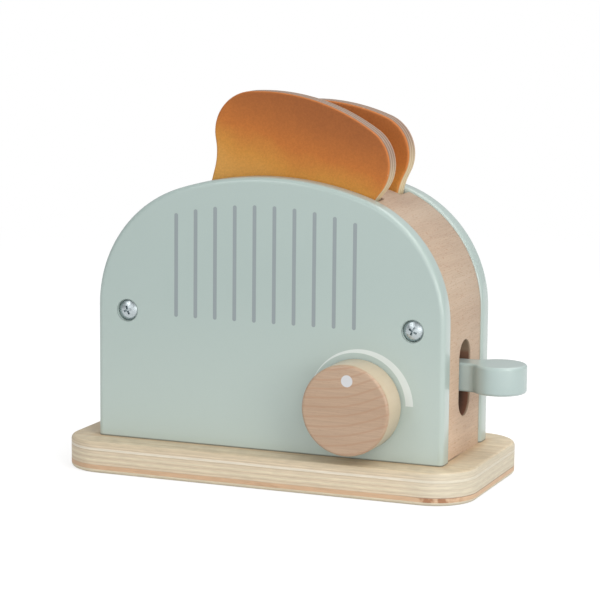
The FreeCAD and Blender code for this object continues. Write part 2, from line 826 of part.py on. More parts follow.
def lift_shelf():
    """Plywood shelf under both toasts, bored for the guide pins and the screws."""
    half_length = f"({SLOT_END} - shelf_side_gap)"
    half_depth = "(core_depth / 2 - shelf_face_gap)"
    plate = box("lift_shelf_blank", (f"-{half_length}", f"-{half_depth}", SHELF_UNDERSIDE),
                (f"2 * {half_length}", f"2 * {half_depth}", "shelf_thickness"))
    bores = [cylinder(f"shelf_bore_{n}", "guide_diameter + 2 * guide_clearance",
                      f"shelf_thickness + 2 * {TOOL_OVERRUN}",
                      (f"{side} * guide_spacing / 2", "0", f"{SHELF_UNDERSIDE} - {TOOL_OVERRUN}"),
                      "z")
             for n, side in enumerate((-1, 1), start=1)]
    return cut("lift_shelf", plate, bores + [shelf_screws])


def lift_post():
    """Beech post that stands on the inner end of the lever."""
    foot = f"({ARM_TOP} + running_gap)"
    blank = box("lift_post_blank", (f"{LIFT_X} - post_width / 2", "-post_depth / 2", foot),
                ("post_width", "post_depth", f"{SHELF_UNDERSIDE} - {foot}"))
    return cut("lift_post", blank, [shelf_screws])


lift_shelf = lift_shelf()
lift_post = lift_post()


# ---------------------------------------------------------------------------------------
# Knob, turned about its spindle
# ---------------------------------------------------------------------------------------

KNOB_BACK = f"({PANEL_FRONT} - knob_gap)"
KNOB_Z = "(base_thickness + knob_rise)"
SPINDLE_END = f"({CORE_FRONT} + spindle_end_play)"
SPINDLE_LENGTH = f"({SPINDLE_END} - {KNOB_BACK} + spindle_bore_depth)"


def knob():
    """Slightly tapered beech disc with a blind bore for the spindle."""
    body = new_body("knob")
    profile = new_sketch(body, "knob_profile")
    polygon(profile, [
        ("spindle_diameter / 2", "0"),
        ("knob_rear_diameter / 2", "0"),
        ("knob_front_diameter / 2", "knob_depth"),
        ("0", "knob_depth"),
        ("0", "spindle_bore_depth"),
        ("spindle_diameter / 2", "spindle_bore_depth"),
    ])
    disc = revolve(body, profile)
    bore, depth = value("spindle_diameter"), value("knob_depth")
    front = round_edges(body, disc, "knob_front_rim", "knob_front_rim_radius",
                        lambda edge: lies_at(edge, "Z", depth))
    round_edges(body, front, "knob_rear_rim", "knob_rear_rim_radius",
                lambda edge: lies_at(edge, "Z", 0) and edge.BoundBox.XLength > bore + NEAR)
    put(body, (KNOB_X, KNOB_BACK, KNOB_Z), TURNS["-y"])
    return body


def knob_fixing():
    """Spindle, washer and screw that hold the knob in the front panel."""
    head = f"({SPINDLE_END} + washer_thickness)"
    profile = pan_head_profile(
        "knob_screw_profile", "knob_screw_diameter", "knob_screw_length",
        "knob_screw_head_diameter", "knob_screw_head_height")
    screw = turned("knob_screw", profile, (KNOB_X, head, KNOB_Z), "y")
    dowel = cylinder("knob_spindle_blank", "spindle_diameter", SPINDLE_LENGTH,
                     (KNOB_X, f"{KNOB_BACK} - spindle_bore_depth", KNOB_Z), "y")
    disc = cylinder("knob_washer_blank", "washer_diameter", "washer_thickness",
                    (KNOB_X, SPINDLE_END, KNOB_Z), "y")
    spindle = cut("knob_spindle", dowel, [screw])
    washer = cut("knob_washer", disc, [screw])
    return spindle, washer, screw


knob = knob()
knob_spindle, knob_washer, knob_screw = knob_fixing()


# ---------------------------------------------------------------------------------------
# Toasts: two equal slices, each leaning in its slot
# ---------------------------------------------------------------------------------------

def draw_toast(sketch):
    """A slice with a flat crown, two lobes, a waist, straight flanks and round feet.

    The line through the centres of the lobes is the sketch's horizontal axis.
    """
    lobe_x, lobe = value("toast_lobe_offset"), value("toast_lobe_radius")
    crown, waist = value("toast_crown_radius"), value("toast_waist_radius")
    half, drop = value(TOAST_HALF), value("toast_body_drop")
    foot = value("toast_corner_radius")
    crown_z = -math.sqrt((crown - lobe) ** 2 - lobe_x ** 2)
    crown_lean = math.atan2(-crown_z, lobe_x)
    waist_x, waist_z = value(WAIST_X), value(WAIST_Z)
    waist_lean = math.atan2(-waist_z, waist_x - lobe_x)
    foot_x, foot_z = half - foot, foot - drop
    quarter, turn = math.pi / 2, math.pi
    draw_loop(sketch, [
        ((-foot_x, -drop), (foot_x, -drop)),
        ((foot_x, foot_z), foot, -quarter, 0),
        ((half, foot_z), (half, waist_z)),
        ((waist_x, waist_z), waist, turn, turn - waist_lean),
        ((lobe_x, 0), lobe, -waist_lean, crown_lean),
        ((0, crown_z), crown, crown_lean, turn - crown_lean),
        ((-lobe_x, 0), lobe, turn - crown_lean, turn + waist_lean),
        ((-waist_x, waist_z), waist, waist_lean, 0),
        ((-half, waist_z), (-half, foot_z)),
        ((-foot_x, foot_z), foot, turn, turn + quarter),
    ], smooth=range(10))
    for constraint in (
        ("Equal", 1, 9),
        ("Equal", 3, 7),
        ("Equal", 4, 6),
        ("PointOnObject", 4, 3, -1),
        ("PointOnObject", 6, 3, -1),
        ("Vertical", 2),
        ("Vertical", 8),
        ("Horizontal", 0),
    ):
        sketch.addConstraint(Sketcher.Constraint(*constraint))
    dimension(sketch, "Radius", (1,), "toast_corner_radius")
    dimension(sketch, "Radius", (3,), "toast_waist_radius")
    dimension(sketch, "Radius", (4,), "toast_lobe_radius")
    dimension(sketch, "Radius", (5,), "toast_crown_radius")
    dimension(sketch, "DistanceX", (-1, 1, 4, 3), "toast_lobe_offset")
    dimension(sketch, "DistanceX", (6, 3, -1, 1), "toast_lobe_offset")
    dimension(sketch, "DistanceX", (-1, 1, 2, 1), TOAST_HALF)
    dimension(sketch, "DistanceX", (8, 1, -1, 1), TOAST_HALF)
    dimension(sketch, "DistanceY", (0, 1, -1, 1), "toast_body_drop")


def toast(label, gap, tilt, side):
    """A slice that stands on the shelf on its lower right foot, close to one panel.

    Its right waist curves round the upper corner of the right block, a gap away.
    """
    body = new_body(label)
    outline = new_sketch(body, label + "_outline")
    draw_toast(outline)
    slice_pad = pad(body, outline, "toast_thickness", midplane=True)
    half = value("toast_thickness / 2")
    round_edges(body, slice_pad, label + "_rim", "toast_edge_radius",
                lambda edge: lies_at(edge, "Y", half) or lies_at(edge, "Y", -half))
    across = f"{side} * (core_depth / 2 - toast_panel_gap - toast_thickness / 2)"
    foot_x = f"({TOAST_HALF} - toast_corner_radius)"
    foot_drop = "(toast_body_drop - toast_corner_radius)"
    up = (f"({SHELF_TOP} + running_gap + toast_corner_radius"
          f" + {foot_x} * sin({tilt}) + {foot_drop} * cos({tilt}))")
    waist_level = f"({up} - {WAIST_X} * sin({tilt}) + {WAIST_Z} * cos({tilt}))"
    to_waist = f"sqrt((toast_waist_radius - {gap})^2 - ({MOUTH_Z} - {waist_level})^2)"
    sideways = f"{SLOT_END} + {to_waist} - {WAIST_X} * cos({tilt}) - {WAIST_Z} * sin({tilt})"
    lean = FreeCAD.Rotation(FreeCAD.Vector(0, 1, 0), value(tilt))
    put(body, (sideways, across, up), lean)
    return body


toast_front = toast("toast_front", "toast_front_side_gap", "toast_front_tilt_degrees", -1)
toast_rear = toast("toast_rear", "toast_rear_side_gap", "toast_rear_tilt_degrees", 1)


# ---------------------------------------------------------------------------------------
# Check and write
# ---------------------------------------------------------------------------------------

NODES = [
    base_board, base_screws, rest_block,
    left_block, right_block, centre_divider, divider_dowels, guide_pins,
    front_panel, rear_panel, panel_dowels, front_panel_screws, rear_panel_screws,
    lever, pivot_pin, lift_shelf, lift_post, shelf_screws,
    knob, knob_spindle, knob_washer, knob_screw,
    toast_front, toast_rear,
]

doc.recompute()
for thing in doc.Objects:
    if "Invalid" in thing.State or "Error" in thing.State:
        raise RuntimeError(f"{thing.Label} did not recompute: {thing.State}")
for node in NODES:
    if node.Shape.isNull() or not node.Shape.isValid():
        raise RuntimeError(f"{node.Label} has no valid shape")

os.makedirs("parts", exist_ok=True)
for node in NODES:
    node.Shape.exportStep(os.path.join("parts", node.Label + ".step"))
    print(f"{node.Label}: {len(node.Shape.Solids)} solid(s), {node.Shape.Volume:.0f} mm3")
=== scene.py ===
# %% [markdown]
# # A wooden toy toaster
# The toy is a plywood base, two lacquered arches, a beech core, a rocking lever, a turned
# knob and two slices of plywood toast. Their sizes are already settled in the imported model,
# which is loaded first and stays where it is. Each cell below makes one piece or one finish
# around it, in metres. X runs to the lever, Y to the rear and Z up.

# %% Load the frame
import math

import bmesh
import bpy
from mathutils import Matrix, Vector


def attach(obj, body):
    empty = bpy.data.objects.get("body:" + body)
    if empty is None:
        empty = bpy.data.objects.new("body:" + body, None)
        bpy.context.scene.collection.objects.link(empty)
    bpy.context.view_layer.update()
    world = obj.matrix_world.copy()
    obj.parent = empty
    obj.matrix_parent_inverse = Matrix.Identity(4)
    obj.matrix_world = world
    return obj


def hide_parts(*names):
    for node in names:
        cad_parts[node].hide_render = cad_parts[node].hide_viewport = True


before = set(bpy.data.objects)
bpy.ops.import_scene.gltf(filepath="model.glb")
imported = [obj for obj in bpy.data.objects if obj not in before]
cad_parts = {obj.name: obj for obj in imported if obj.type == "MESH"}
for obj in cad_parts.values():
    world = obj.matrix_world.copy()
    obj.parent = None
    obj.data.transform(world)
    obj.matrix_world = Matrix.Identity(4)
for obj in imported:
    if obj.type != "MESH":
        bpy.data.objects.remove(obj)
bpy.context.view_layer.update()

MM = 0.001

# %% [markdown]
# ## Camera
# A long lens from well back keeps the sides nearly parallel. The camera could be aimed with
# a constraint, but its matrix is written out here, so that the slight roll of a camera
# levelled by hand can be given as well. Two small helpers are needed all through the file:
# one puts an object in the scene, the other gives a turn in degrees.

# %% Camera
CAMERA_AZIMUTH = math.radians(21.637)
CAMERA_ELEVATION = math.radians(8.976)
CAMERA_ROLL = 0.551
CAMERA_DISTANCE = 1.1407
CAMERA_TARGET = Vector((0.00946, -0.01595, 0.0823))
CAMERA_LENS = 147.66


def put(name, data, place=Matrix.Identity(4)):
    """Makes an object of its data and puts it in the scene."""
    made = bpy.data.objects.new(name, data)
    made.matrix_world = place
    bpy.context.scene.collection.objects.link(made)
    return made


def turned(degrees, axis):
    """The matrix that turns a thing about an axis."""
    return Matrix.Rotation(math.radians(degrees), 4, axis)


def aim_camera():
    """Puts a camera on a sphere round the target and returns it."""
    flat = Vector((math.sin(CAMERA_AZIMUTH), -math.cos(CAMERA_AZIMUTH), 0))
    back = flat * math.cos(CAMERA_ELEVATION) + Vector((0, 0, math.sin(CAMERA_ELEVATION)))
    right = Vector((math.cos(CAMERA_AZIMUTH), math.sin(CAMERA_AZIMUTH), 0))
    up = back.cross(right)
    turn = Matrix((right, up, back)).transposed().to_4x4() @ turned(CAMERA_ROLL, "Z")
    data = bpy.data.cameras.new("camera")
    data.lens = CAMERA_LENS
    return put("camera", data, Matrix.Translation(CAMERA_TARGET + back * CAMERA_DISTANCE) @ turn)


bpy.context.scene.camera = aim_camera()
print("camera:", CAMERA_LENS, "mm lens,", CAMERA_DISTANCE, "m away")

# %% [markdown]
# ## Sizes that pieces share
# Some sizes are met by a piece and its neighbour, or by a piece and its finish: the top of
# the base, the arch and the core inside it, the screws, the knob and the thickness of a
# slice. They could be typed in each cell, but then a change would miss some of them, so each
# is written once here.

# %% Shared sizes
BASE_TOP = 0.015
PANEL_HALF_WIDTH, PANEL_HEIGHT, PANEL_THICKNESS = 0.0854, 0.126, 0.010
CORE_INSET, CORE_HALF_DEPTH = 0.001, 0.023
CORE_SIDE = PANEL_HALF_WIDTH - CORE_INSET
PANEL_FACE = CORE_HALF_DEPTH + PANEL_THICKNESS
LEVER_SLOT_RADIUS = 0.00825
SCREW_X, SCREW_Z = 0.0703, 0.0755
COUNTERBORE_RADIUS, COUNTERBORE_DEPTH = 0.00505, 0.003
KNOB_X, KNOB_Z = 0.0448, 0.04035
KNOB_BACK, KNOB_DEPTH = -0.0334, 0.0168
SLICE_THICKNESS = 0.010
print(f"arch: {2 * PANEL_HALF_WIDTH / MM:.1f} x {PANEL_HEIGHT / MM:.1f} mm,",
      f"{2 * PANEL_FACE / MM:.0f} mm over both panels")

# %% [markdown]
# ## Nodes in few words
# Every finish below is a graph of nodes, and most of a graph is arithmetic on the place of a
# point. Its nodes could be added one by one, but that takes several lines for each. Here an
# output becomes a value that Python can calculate with: every sign between two values adds
# one Math node, so that a graph is as short as its formula.

# %% Node helpers


def node(tree, kind, inputs=(), output=0, **settings):
    """Adds a shader node and returns one of its outputs as a Value, if it has any."""
    made = tree.nodes.new("ShaderNode" + kind)
    for key, setting in settings.items():
        setattr(made, key, setting)
    for key, given in dict(inputs).items():
        if isinstance(given, Value):
            tree.links.new(given.socket, made.inputs[key])
        else:
            made.inputs[key].default_value = given
    return Value(made.outputs[output]) if made.outputs else None


def math_step(operation):
    """A method that adds one Math node to the graph of its value."""
    def step(value, *others):
        return node(value.tree, "Math", enumerate((value, *others)), operation=operation)
    return step


class Value:
    """An output of a node that Python can calculate with."""

    def __init__(self, socket):
        self.socket, self.tree = socket, socket.id_data

    def __rsub__(self, number):
        return node(self.tree, "Math", {0: number, 1: self}, operation="SUBTRACT")

    __add__, __sub__ = math_step("ADD"), math_step("SUBTRACT")
    __mul__, __truediv__ = math_step("MULTIPLY"), math_step("DIVIDE")
    __lt__, __abs__ = math_step("LESS_THAN"), math_step("ABSOLUTE")
    larger, smaller, near = math_step("MAXIMUM"), math_step("MINIMUM"), math_step("COMPARE")
    rounded, root, sine = math_step("ROUND"), math_step("SQRT"), math_step("SINE")


def length(across, up):
    """The straight distance that two steps at a right angle make."""
    return (across * across + up * up).root()


def soft_step(value, span, start=0.0, end=1.0):
    """Goes smoothly from start to end while value goes through a span."""
    low, high = span
    ends = {"Value": value, "From Min": low, "From Max": high, "To Min": start, "To Max": end}
    return node(value.tree, "MapRange", ends, interpolation_type="SMOOTHSTEP")


def tone(red, green, blue):
    """A colour as written in a picker, turned into the linear values that shaders use."""
    def linear(level):
        share = level / 255
        return share / 12.92 if share <= 0.04045 else ((share + 0.055) / 1.055) ** 2.4
    return (linear(red), linear(green), linear(blue), 1)


def blend(share, first, second, way="MIX"):
    """Mixes two colours; share 0 is the first and share 1 the second."""
    tree = next(given.tree for given in (share, first, second) if isinstance(given, Value))
    inputs = {0: share, 6: first, 7: second}
    return node(tree, "Mix", inputs, output=2, data_type="RGBA", blend_type=way)


def tone_ramp(share, stops, interpolation="LINEAR"):
    """A colour that follows a value through several stops."""
    made = node(share.tree, "ValToRGB", {"Fac": share})
    ramp = made.socket.node.color_ramp
    ramp.interpolation = interpolation
    while len(ramp.elements) < len(stops):
        ramp.elements.new(1.0)
    for element, (position, colour) in zip(ramp.elements, stops):
        element.position = position
        element.color = colour
    return made


def split_place(tree):
    """X, Y and Z of a point on the toy, in metres."""
    parts = node(tree, "SeparateXYZ", {0: node(tree, "TexCoord", output="Object")})
    return [Value(part) for part in parts.socket.node.outputs]


def cloud(tree, scale, detail=2.0, roughness=0.5, distortion=0.0, shift=(0, 0, 0), turn=(0, 0, 0)):
    """Soft noise. Its scale, in patches per metre, is one number or one for each direction."""
    scale = scale if isinstance(scale, tuple) else (scale,) * 3
    source = node(tree, "TexCoord", output="Object")
    place = {"Vector": source, "Location": shift, "Rotation": turn, "Scale": scale}
    settings = {"Vector": node(tree, "Mapping", place), "Scale": 1.0, "Detail": detail,
                "Roughness": roughness, "Distortion": distortion}
    return node(tree, "TexNoise", settings, output="Fac")


def mottle(colour, noise, span, darkest, brightest):
    """Darkens and brightens a colour a little while a noise goes through a span."""
    level = soft_step(noise, span, darkest, brightest)
    grey = node(level.tree, "CombineColor", {"Red": level, "Green": level, "Blue": level})
    return blend(1.0, colour, grey, "MULTIPLY")


def coat(name, roughness, **sockets):
    """A new material: returns it, its node tree and its Principled shader."""
    material = bpy.data.materials.new(name)
    material.use_nodes = True
    tree = material.node_tree
    shader = tree.nodes["Principled BSDF"]
    shader.inputs["Roughness"].default_value = roughness
    for key, value in sockets.items():
        shader.inputs[key.replace("_", " ")].default_value = value
    return material, tree, shader


def dress(shader, colour, height, strength, depth):
    """Gives a shader its colour, and lets a value stand out as fine relief."""
    bump = node(colour.tree, "Bump", {"Height": height, "Strength": strength, "Distance": depth})
    for key, value in {"Base Color": colour, "Normal": bump}.items():
        colour.tree.links.new(value.socket, shader.inputs[key])


print("helpers ready")

# %% [markdown]
# ## Beech
# Beech is a pale pinkish wood. Along the grain run thousands of short dark dashes, and the
# growth rings show as broad, faint bands. A wood texture could be painted, but a solid one
# made of stretched noise shows the right grain on every face of a block, and end grain on
# its ends. One recipe, with the grain along a chosen direction, serves all beech pieces.

# %% Beech
FIBRE_ACROSS, FIBRE_ALONG = 2300, 55
FLECKS_ACROSS, FLECKS_ALONG = 1900, 460
RINGS_ALONG = 3
RING_STOPS = (0.3, 0.52, 0.72)
BEECH_TONES = (tone(188, 168, 149), tone(179, 158, 138), tone(168, 144, 123))
DOWEL_TONES = (tone(220, 196, 164), tone(210, 184, 150), tone(196, 168, 134))


def wood(name, grain, tones, turn=(0, 0, 0), shift=(0, 0, 0), ring_width=0.011, dashes=0.3,
         dash_tone=tone(148, 112, 88), roughness=0.62, gloss=0.0, wash=lambda colour: colour):
    """A solid wood finish with bands, fibres and short dark dashes."""
    def grained(across, along, *settings):
        """Noise that is drawn out along the grain."""
        scale = tuple(along if axis == grain else across for axis in "XYZ")
        return cloud(tree, scale, *settings, shift=shift, turn=turn)

    material, tree, shader = coat(name, roughness, Coat_Weight=gloss, Coat_Roughness=0.15)
    rings = grained(1 / ring_width, RINGS_ALONG, 3, 0.6, 0.4)
    fibre = grained(FIBRE_ACROSS, FIBRE_ALONG, 2, 0.6)
    flecks = grained(FLECKS_ACROSS, FLECKS_ALONG, 1, 0.4)
    colour = tone_ramp(rings, list(zip(RING_STOPS, tones)))
    colour = mottle(colour, fibre, (0.3, 0.7), 0.93, 1.05)
    dash = soft_step(flecks, (0.58, 0.7), end=dashes)
    colour = wash(blend(dash, colour, dash_tone))
    dress(shader, colour, fibre - dash, 0.25, 0.00012)
    return material


beech = wood("beech", "Z", BEECH_TONES)
shelf_beech = wood("shelf_beech", "X", BEECH_TONES)
dowel_beech = wood("dowel_beech", "X", DOWEL_TONES)
print("beech:", beech.name, shelf_beech.name, dowel_beech.name)

# %% [markdown]
# ## The block beside the lever
# The block at the lever's side shows its whole face, so its beech gets painted light and shade
# on top. It is painted lighter and warmer at the foot and greyer towards the crown, and its rear
# edge is painted with shade. The walls of the slot are painted with shade, much darker than the
# face, redder at the mouth and blacker inside: light alone leaves them too pale. A fine dark
# line of painted contact shade runs along the foot and fades towards the rear. The panels have
# it too.

# %% The block beside the lever
# Painted contact shade along the foot of the panels and blocks.
CONTACT_SHADE_TONE, CONTACT_SHADE_SHARE = tone(70, 62, 46), 0.65
CONTACT_SHADE_SPAN, CONTACT_SHADE_FADE = (BASE_TOP + 0.0009, BASE_TOP + 0.0003), (-0.014, 0.004)
# Painted light and shade by height: lighter at the foot, darker and greyer towards the crown.
PAINTED_HEIGHT_SHADE = [(0.0, (1, 1, 1, 1)), (0.66, (0.81, 0.86, 0.9, 1)), (1.0, (0.73, 0.76, 0.79, 1))]
PAINTED_HEIGHT_FROM, PAINTED_HEIGHT_SPAN = 0.025, 0.105
# Painted shade on the slot walls: darkest deep inside and low down, redder at the mouth.
SLOT_SHADE_TONES = [(0.0, tone(58, 36, 27)), (0.55, tone(96, 62, 43)), (0.66, tone(112, 70, 48)),
              (0.73, tone(138, 114, 92)), (1.0, tone(154, 132, 108))]
SLOT_SHADE_FROM, SLOT_SHADE_SPAN, SLOT_SHADE_TOP, SLOT_SHADE_SHARE = 0.045, 0.023, 0.070, 0.9
SLOT_SHADE_HALF_WIDTH = LEVER_SLOT_RADIUS + 0.00015
SLOT_SHADE_EDGE, SLOT_SHADE_CORE = CORE_SIDE - 0.0002, CORE_SIDE - 0.0012
MOUTH_SHADE_TONE, MOUTH_END, MOUTH_RISE = tone(128, 76, 54), CORE_SIDE - 0.0055, (0.060, 0.052)
# Painted shade along the block's rear edge.
REAR_EDGE_SHADE_TONE, REAR_EDGE_SHADE_SHARE, REAR_EDGE_SHADE_SPAN = tone(126, 108, 90), 0.3, (0.0205, 0.0232)
# These tones are lighter than plain beech, as painted light; the height ramp darkens them towards
# the crown.
LIT_CHEEK_TONES = (tone(208, 182, 158), tone(202, 174, 149), tone(196, 166, 141))


def contact_shade_line(colour, share=CONTACT_SHADE_SHARE):
    """A fine dark line of painted contact shade where a piece stands on the base."""
    z = split_place(colour.tree)[2]
    return blend(soft_step(z, CONTACT_SHADE_SPAN) * share, colour, CONTACT_SHADE_TONE)


def painted_slot_shade(colour, x, y, z):
    """Painted shade on the walls of the lever's slot."""
    inside = (abs(y) < SLOT_SHADE_HALF_WIDTH) * soft_step(x, (SLOT_SHADE_EDGE, SLOT_SHADE_CORE)) * (z < SLOT_SHADE_TOP)
    mouth = soft_step(x, (MOUTH_END, SLOT_SHADE_CORE)) * soft_step(z, MOUTH_RISE)
    slot_shade = blend(mouth, tone_ramp((z - SLOT_SHADE_FROM) / SLOT_SHADE_SPAN, SLOT_SHADE_TONES), MOUTH_SHADE_TONE)
    return blend(inside * SLOT_SHADE_SHARE, colour, slot_shade)


def cheek_painted_shading(colour):
    """Painted light and shade: a lighter, warmer foot, dark slot walls and a shaded rear edge."""
    x, y, z = split_place(colour.tree)
    # Painted light: lighter and warmer at the foot, darker and greyer towards the crown.
    height_shade = tone_ramp((z - PAINTED_HEIGHT_FROM) / PAINTED_HEIGHT_SPAN, PAINTED_HEIGHT_SHADE)
    colour = painted_slot_shade(blend(1.0, colour, height_shade, "MULTIPLY"), x, y, z)
    # Painted shade along the rear edge, beside the rear panel.
    shaded = soft_step(y, REAR_EDGE_SHADE_SPAN, end=REAR_EDGE_SHADE_SHARE)
    colour = blend(shaded, colour, REAR_EDGE_SHADE_TONE)
    # Painted contact shade along the foot, fading towards the rear.
    return contact_shade_line(colour, soft_step(y, CONTACT_SHADE_FADE, CONTACT_SHADE_SHARE, 0.0))


cheek_beech = wood("cheek_beech", "Y", LIT_CHEEK_TONES, turn=(math.radians(-9), 0, 0), dashes=0.36,
                   dash_tone=tone(168, 120, 90), wash=cheek_painted_shading)
print("beech with a wash:", cheek_beech.name)

# %% [markdown]
# ## Knob wood
# The knob is turned from a blank whose grain lies across its face, a little uphill, with a
# few clear ring lines. Its side cuts those rings lengthwise, so it is paler and yellower.
# The white dot is printed on the face: it is a mask, a distance from the middle of the dot,
# rather than a disc, because ink has no thickness that the eye can see.

# %% Knob wood
KNOB_FACE = KNOB_BACK - KNOB_DEPTH
DOT_PLACE, DOT_RADIUS = (0.0457, 0.05397), 0.0027
DOT_TONE, DOT_DEPTH = tone(203, 204, 207), 0.001
INK_EDGE = 0.00012
RING_HEART = (KNOB_X - 0.015, KNOB_Z + 0.078)
RING_PITCH, RING_WOBBLE = 0.0043, 0.0022
RING_TONE, RING_SHARE = tone(166, 120, 88), 0.34
SIDE_TONE, SIDE_SHARE = tone(207, 191, 163), 0.8
SIDE_SPAN = (KNOB_FACE + 0.0005, KNOB_FACE + 0.0018)
KNOB_TONES = (tone(182, 154, 129), tone(176, 147, 121), tone(171, 140, 114))


def distance(x, z, centre_x, centre_z):
    """Distance in the XZ plane from a point."""
    return length(x - centre_x, z - centre_z)


def inked(away, radius):
    """1 within a radius and 0 beyond, with a fine soft edge."""
    return soft_step(away, (radius + INK_EDGE, radius - INK_EDGE))


def knob_print(colour):
    """Ring lines, a paler side and a printed dot on the face."""
    x, y, z = split_place(colour.tree)
    away = distance(x, z, *RING_HEART) + cloud(colour.tree, 60) * RING_WOBBLE
    wave = (away * (2 * math.pi / RING_PITCH)).sine()
    colour = blend(soft_step(wave, (0.6, 1.0), end=RING_SHARE), colour, RING_TONE)
    colour = blend(soft_step(y, SIDE_SPAN, end=SIDE_SHARE), colour, SIDE_TONE)
    dot = inked(distance(x, z, *DOT_PLACE), DOT_RADIUS) * (y < KNOB_FACE + DOT_DEPTH)
    return blend(dot, colour, DOT_TONE)


knob_beech = wood("knob_beech", "X", KNOB_TONES, turn=(0, math.radians(9), 0),
                  shift=(0.4, 0.1, 1.3), ring_width=0.0075, dashes=0.14, roughness=0.5,
                  gloss=0.6, wash=knob_print)
print("knob wood:", knob_beech.name)

# %% [markdown]
# ## Mint lacquer
# The arches and the lever are sprayed with a satin, greyish mint lacquer. It is nearly even:
# what makes it look like paint on wood is a faint drift of colour, a slight orange peel in the
# highlights and a soft sheen. The lower half is painted paler, as painted light from below. The
# gap round each screw is a line of painted shade, too fine for the lamps to shade by themselves.
# Stripes could be modelled as film, but they are printed flat, so they are masks too: each is
# the distance from a short upright line.

# %% Mint lacquer
MINT = (tone(165, 181, 177), tone(170, 186, 182))
# The lower tones are painted light: the lacquer turns paler towards the foot.
MINT_LIT_FOOT, LEVER_MINT_LIT_FOOT, LIT_FOOT_SPAN = tone(178, 192, 186), tone(168, 185, 184), (0.10, 0.018)
# Painted shade round the counterbores.
GAP_SHADE_TONE, GAP_SHADE_SHARE = tone(84, 102, 98), 0.75
GAP_RADIUS, GAP_SPAN = COUNTERBORE_RADIUS + 0.00017, (0.00016, 0.0001)
PRINT_DEPTH = 0.0003
STRIPE_COUNT, STRIPE_PITCH, STRIPE_HALF_WIDTH = 10, 0.009755, 0.00094
STRIPE_FIRST_X, STRIPE_BOTTOM = -0.0454, 0.0741
STRIPE_TOP, STRIPE_TOP_X, STRIPE_CROWN = 0.1282, -0.001, 0.342
STRIPE_TONE = tone(138, 148, 151)
ARC_OUTER, ARC_OUTER_RADIUS = (0.04607, 0.04051), 0.0251
ARC_INNER, ARC_INNER_RADIUS = (0.04431, 0.04061), 0.02325
ARC_TONE, ARC_FOOT = tone(211, 219, 217), 0.0413


def lacquer(name, prints=lambda colour: colour, low=MINT_LIT_FOOT):
    """Satin mint paint, with an optional print on top."""
    material, tree, shader = coat(name, 0.42, Coat_Weight=0.65, Coat_Roughness=0.12)
    x, _, z = split_place(tree)
    colour = blend(cloud(tree, 14), *MINT)
    # Painted light: the lower part is painted paler, as if lit from below.
    colour = blend(soft_step(z, LIT_FOOT_SPAN), colour, low)
    colour = prints(mottle(colour, cloud(tree, 5200, 1), (0.3, 0.7), 0.985, 1.012))
    # Painted shade: a fine dark line just outside each counterbore.
    from_gap = abs(distance(abs(x), z, SCREW_X, SCREW_Z) - GAP_RADIUS)
    colour = blend(soft_step(from_gap, GAP_SPAN, end=GAP_SHADE_SHARE), colour, GAP_SHADE_TONE)
    # Painted contact shade along the foot of the panel.
    dress(shader, contact_shade_line(colour), cloud(tree, 900), 0.12, 0.00008)
    return material


def stripes(x, z):
    """1 inside the ten printed stripes, whose tops follow a shallow arch."""
    steps = (x - STRIPE_FIRST_X) / STRIPE_PITCH
    nearest = steps.rounded().larger(0.0).smaller(STRIPE_COUNT - 1.0)
    across = (steps - nearest) * STRIPE_PITCH
    from_top = nearest * STRIPE_PITCH + (STRIPE_FIRST_X - STRIPE_TOP_X)
    top = STRIPE_TOP - STRIPE_HALF_WIDTH - from_top * from_top / STRIPE_CROWN
    along = z - z.smaller(top).larger(STRIPE_BOTTOM + STRIPE_HALF_WIDTH)
    return inked(length(across, along), STRIPE_HALF_WIDTH)


def crescent(x, z):
    """1 inside the larger circle and outside the smaller one, above a level cut."""
    inside = inked(distance(x, z, *ARC_OUTER), ARC_OUTER_RADIUS)
    covered = inked(distance(x, z, *ARC_INNER), ARC_INNER_RADIUS)
    above = soft_step(z, (ARC_FOOT - INK_EDGE, ARC_FOOT + INK_EDGE))
    return inside * (1.0 - covered) * above


def front_prints(colour):
    """Stripes and crescent, on the outer face only."""
    x, y, z = split_place(colour.tree)
    outside = y < PRINT_DEPTH - PANEL_FACE
    colour = blend(stripes(x, z) * outside, colour, STRIPE_TONE)
    return blend(crescent(x, z) * outside, colour, ARC_TONE)


mint = lacquer("mint_lacquer")
printed_mint = lacquer("printed_mint_lacquer", front_prints)
lever_mint = lacquer("lever_mint_lacquer", low=LEVER_MINT_LIT_FOOT)
print("lacquer:", mint.name, printed_mint.name, lever_mint.name)

# %% [markdown]
# ## Plywood
# The base shows its plies round the edge: pale long-grain layers, darker end-grain layers,
# thin glue lines and one ruddy layer with a few knots. The layers could be loose boards, but
# in the real sheet they are one block, so their tone is picked by height from a ramp without
# blends. A little noise is added to the height first, because real plies waver. The right
# end is greyer, under a darker glue line. The ply under the top's rounded rim is painted
# darker, as painted shade that keeps the rim's highlight down. The top is a single veneer,
# with noise stretched along X for its long grain, and a warm painted shade where the walls
# stand near.

# %% Base plywood
PALE_PLY, MIDDLE_PLY = tone(223, 210, 184), tone(216, 199, 173)
BRIGHT_PLY, RUDDY_PLY = tone(226, 216, 199), tone(211, 176, 143)
# The last ply, under the top's rounded rim, is painted darker as painted shade that keeps its
# highlight down.
GLUE_LINE, SHADED_RIM_PLY = tone(202, 182, 154), tone(204, 187, 160)
PLIES = (
    (0.0, PALE_PLY), (1.8, RUDDY_PLY), (3.9, MIDDLE_PLY), (4.9, GLUE_LINE), (5.2, MIDDLE_PLY),
    (5.8, PALE_PLY), (6.6, MIDDLE_PLY), (7.3, GLUE_LINE), (7.6, MIDDLE_PLY), (8.2, PALE_PLY),
    (9.0, MIDDLE_PLY), (10.3, GLUE_LINE), (10.7, BRIGHT_PLY), (11.8, MIDDLE_PLY),
    (12.1, GLUE_LINE), (12.4, MIDDLE_PLY), (13.1, SHADED_RIM_PLY),
)
PLY_WAVER = 0.0009
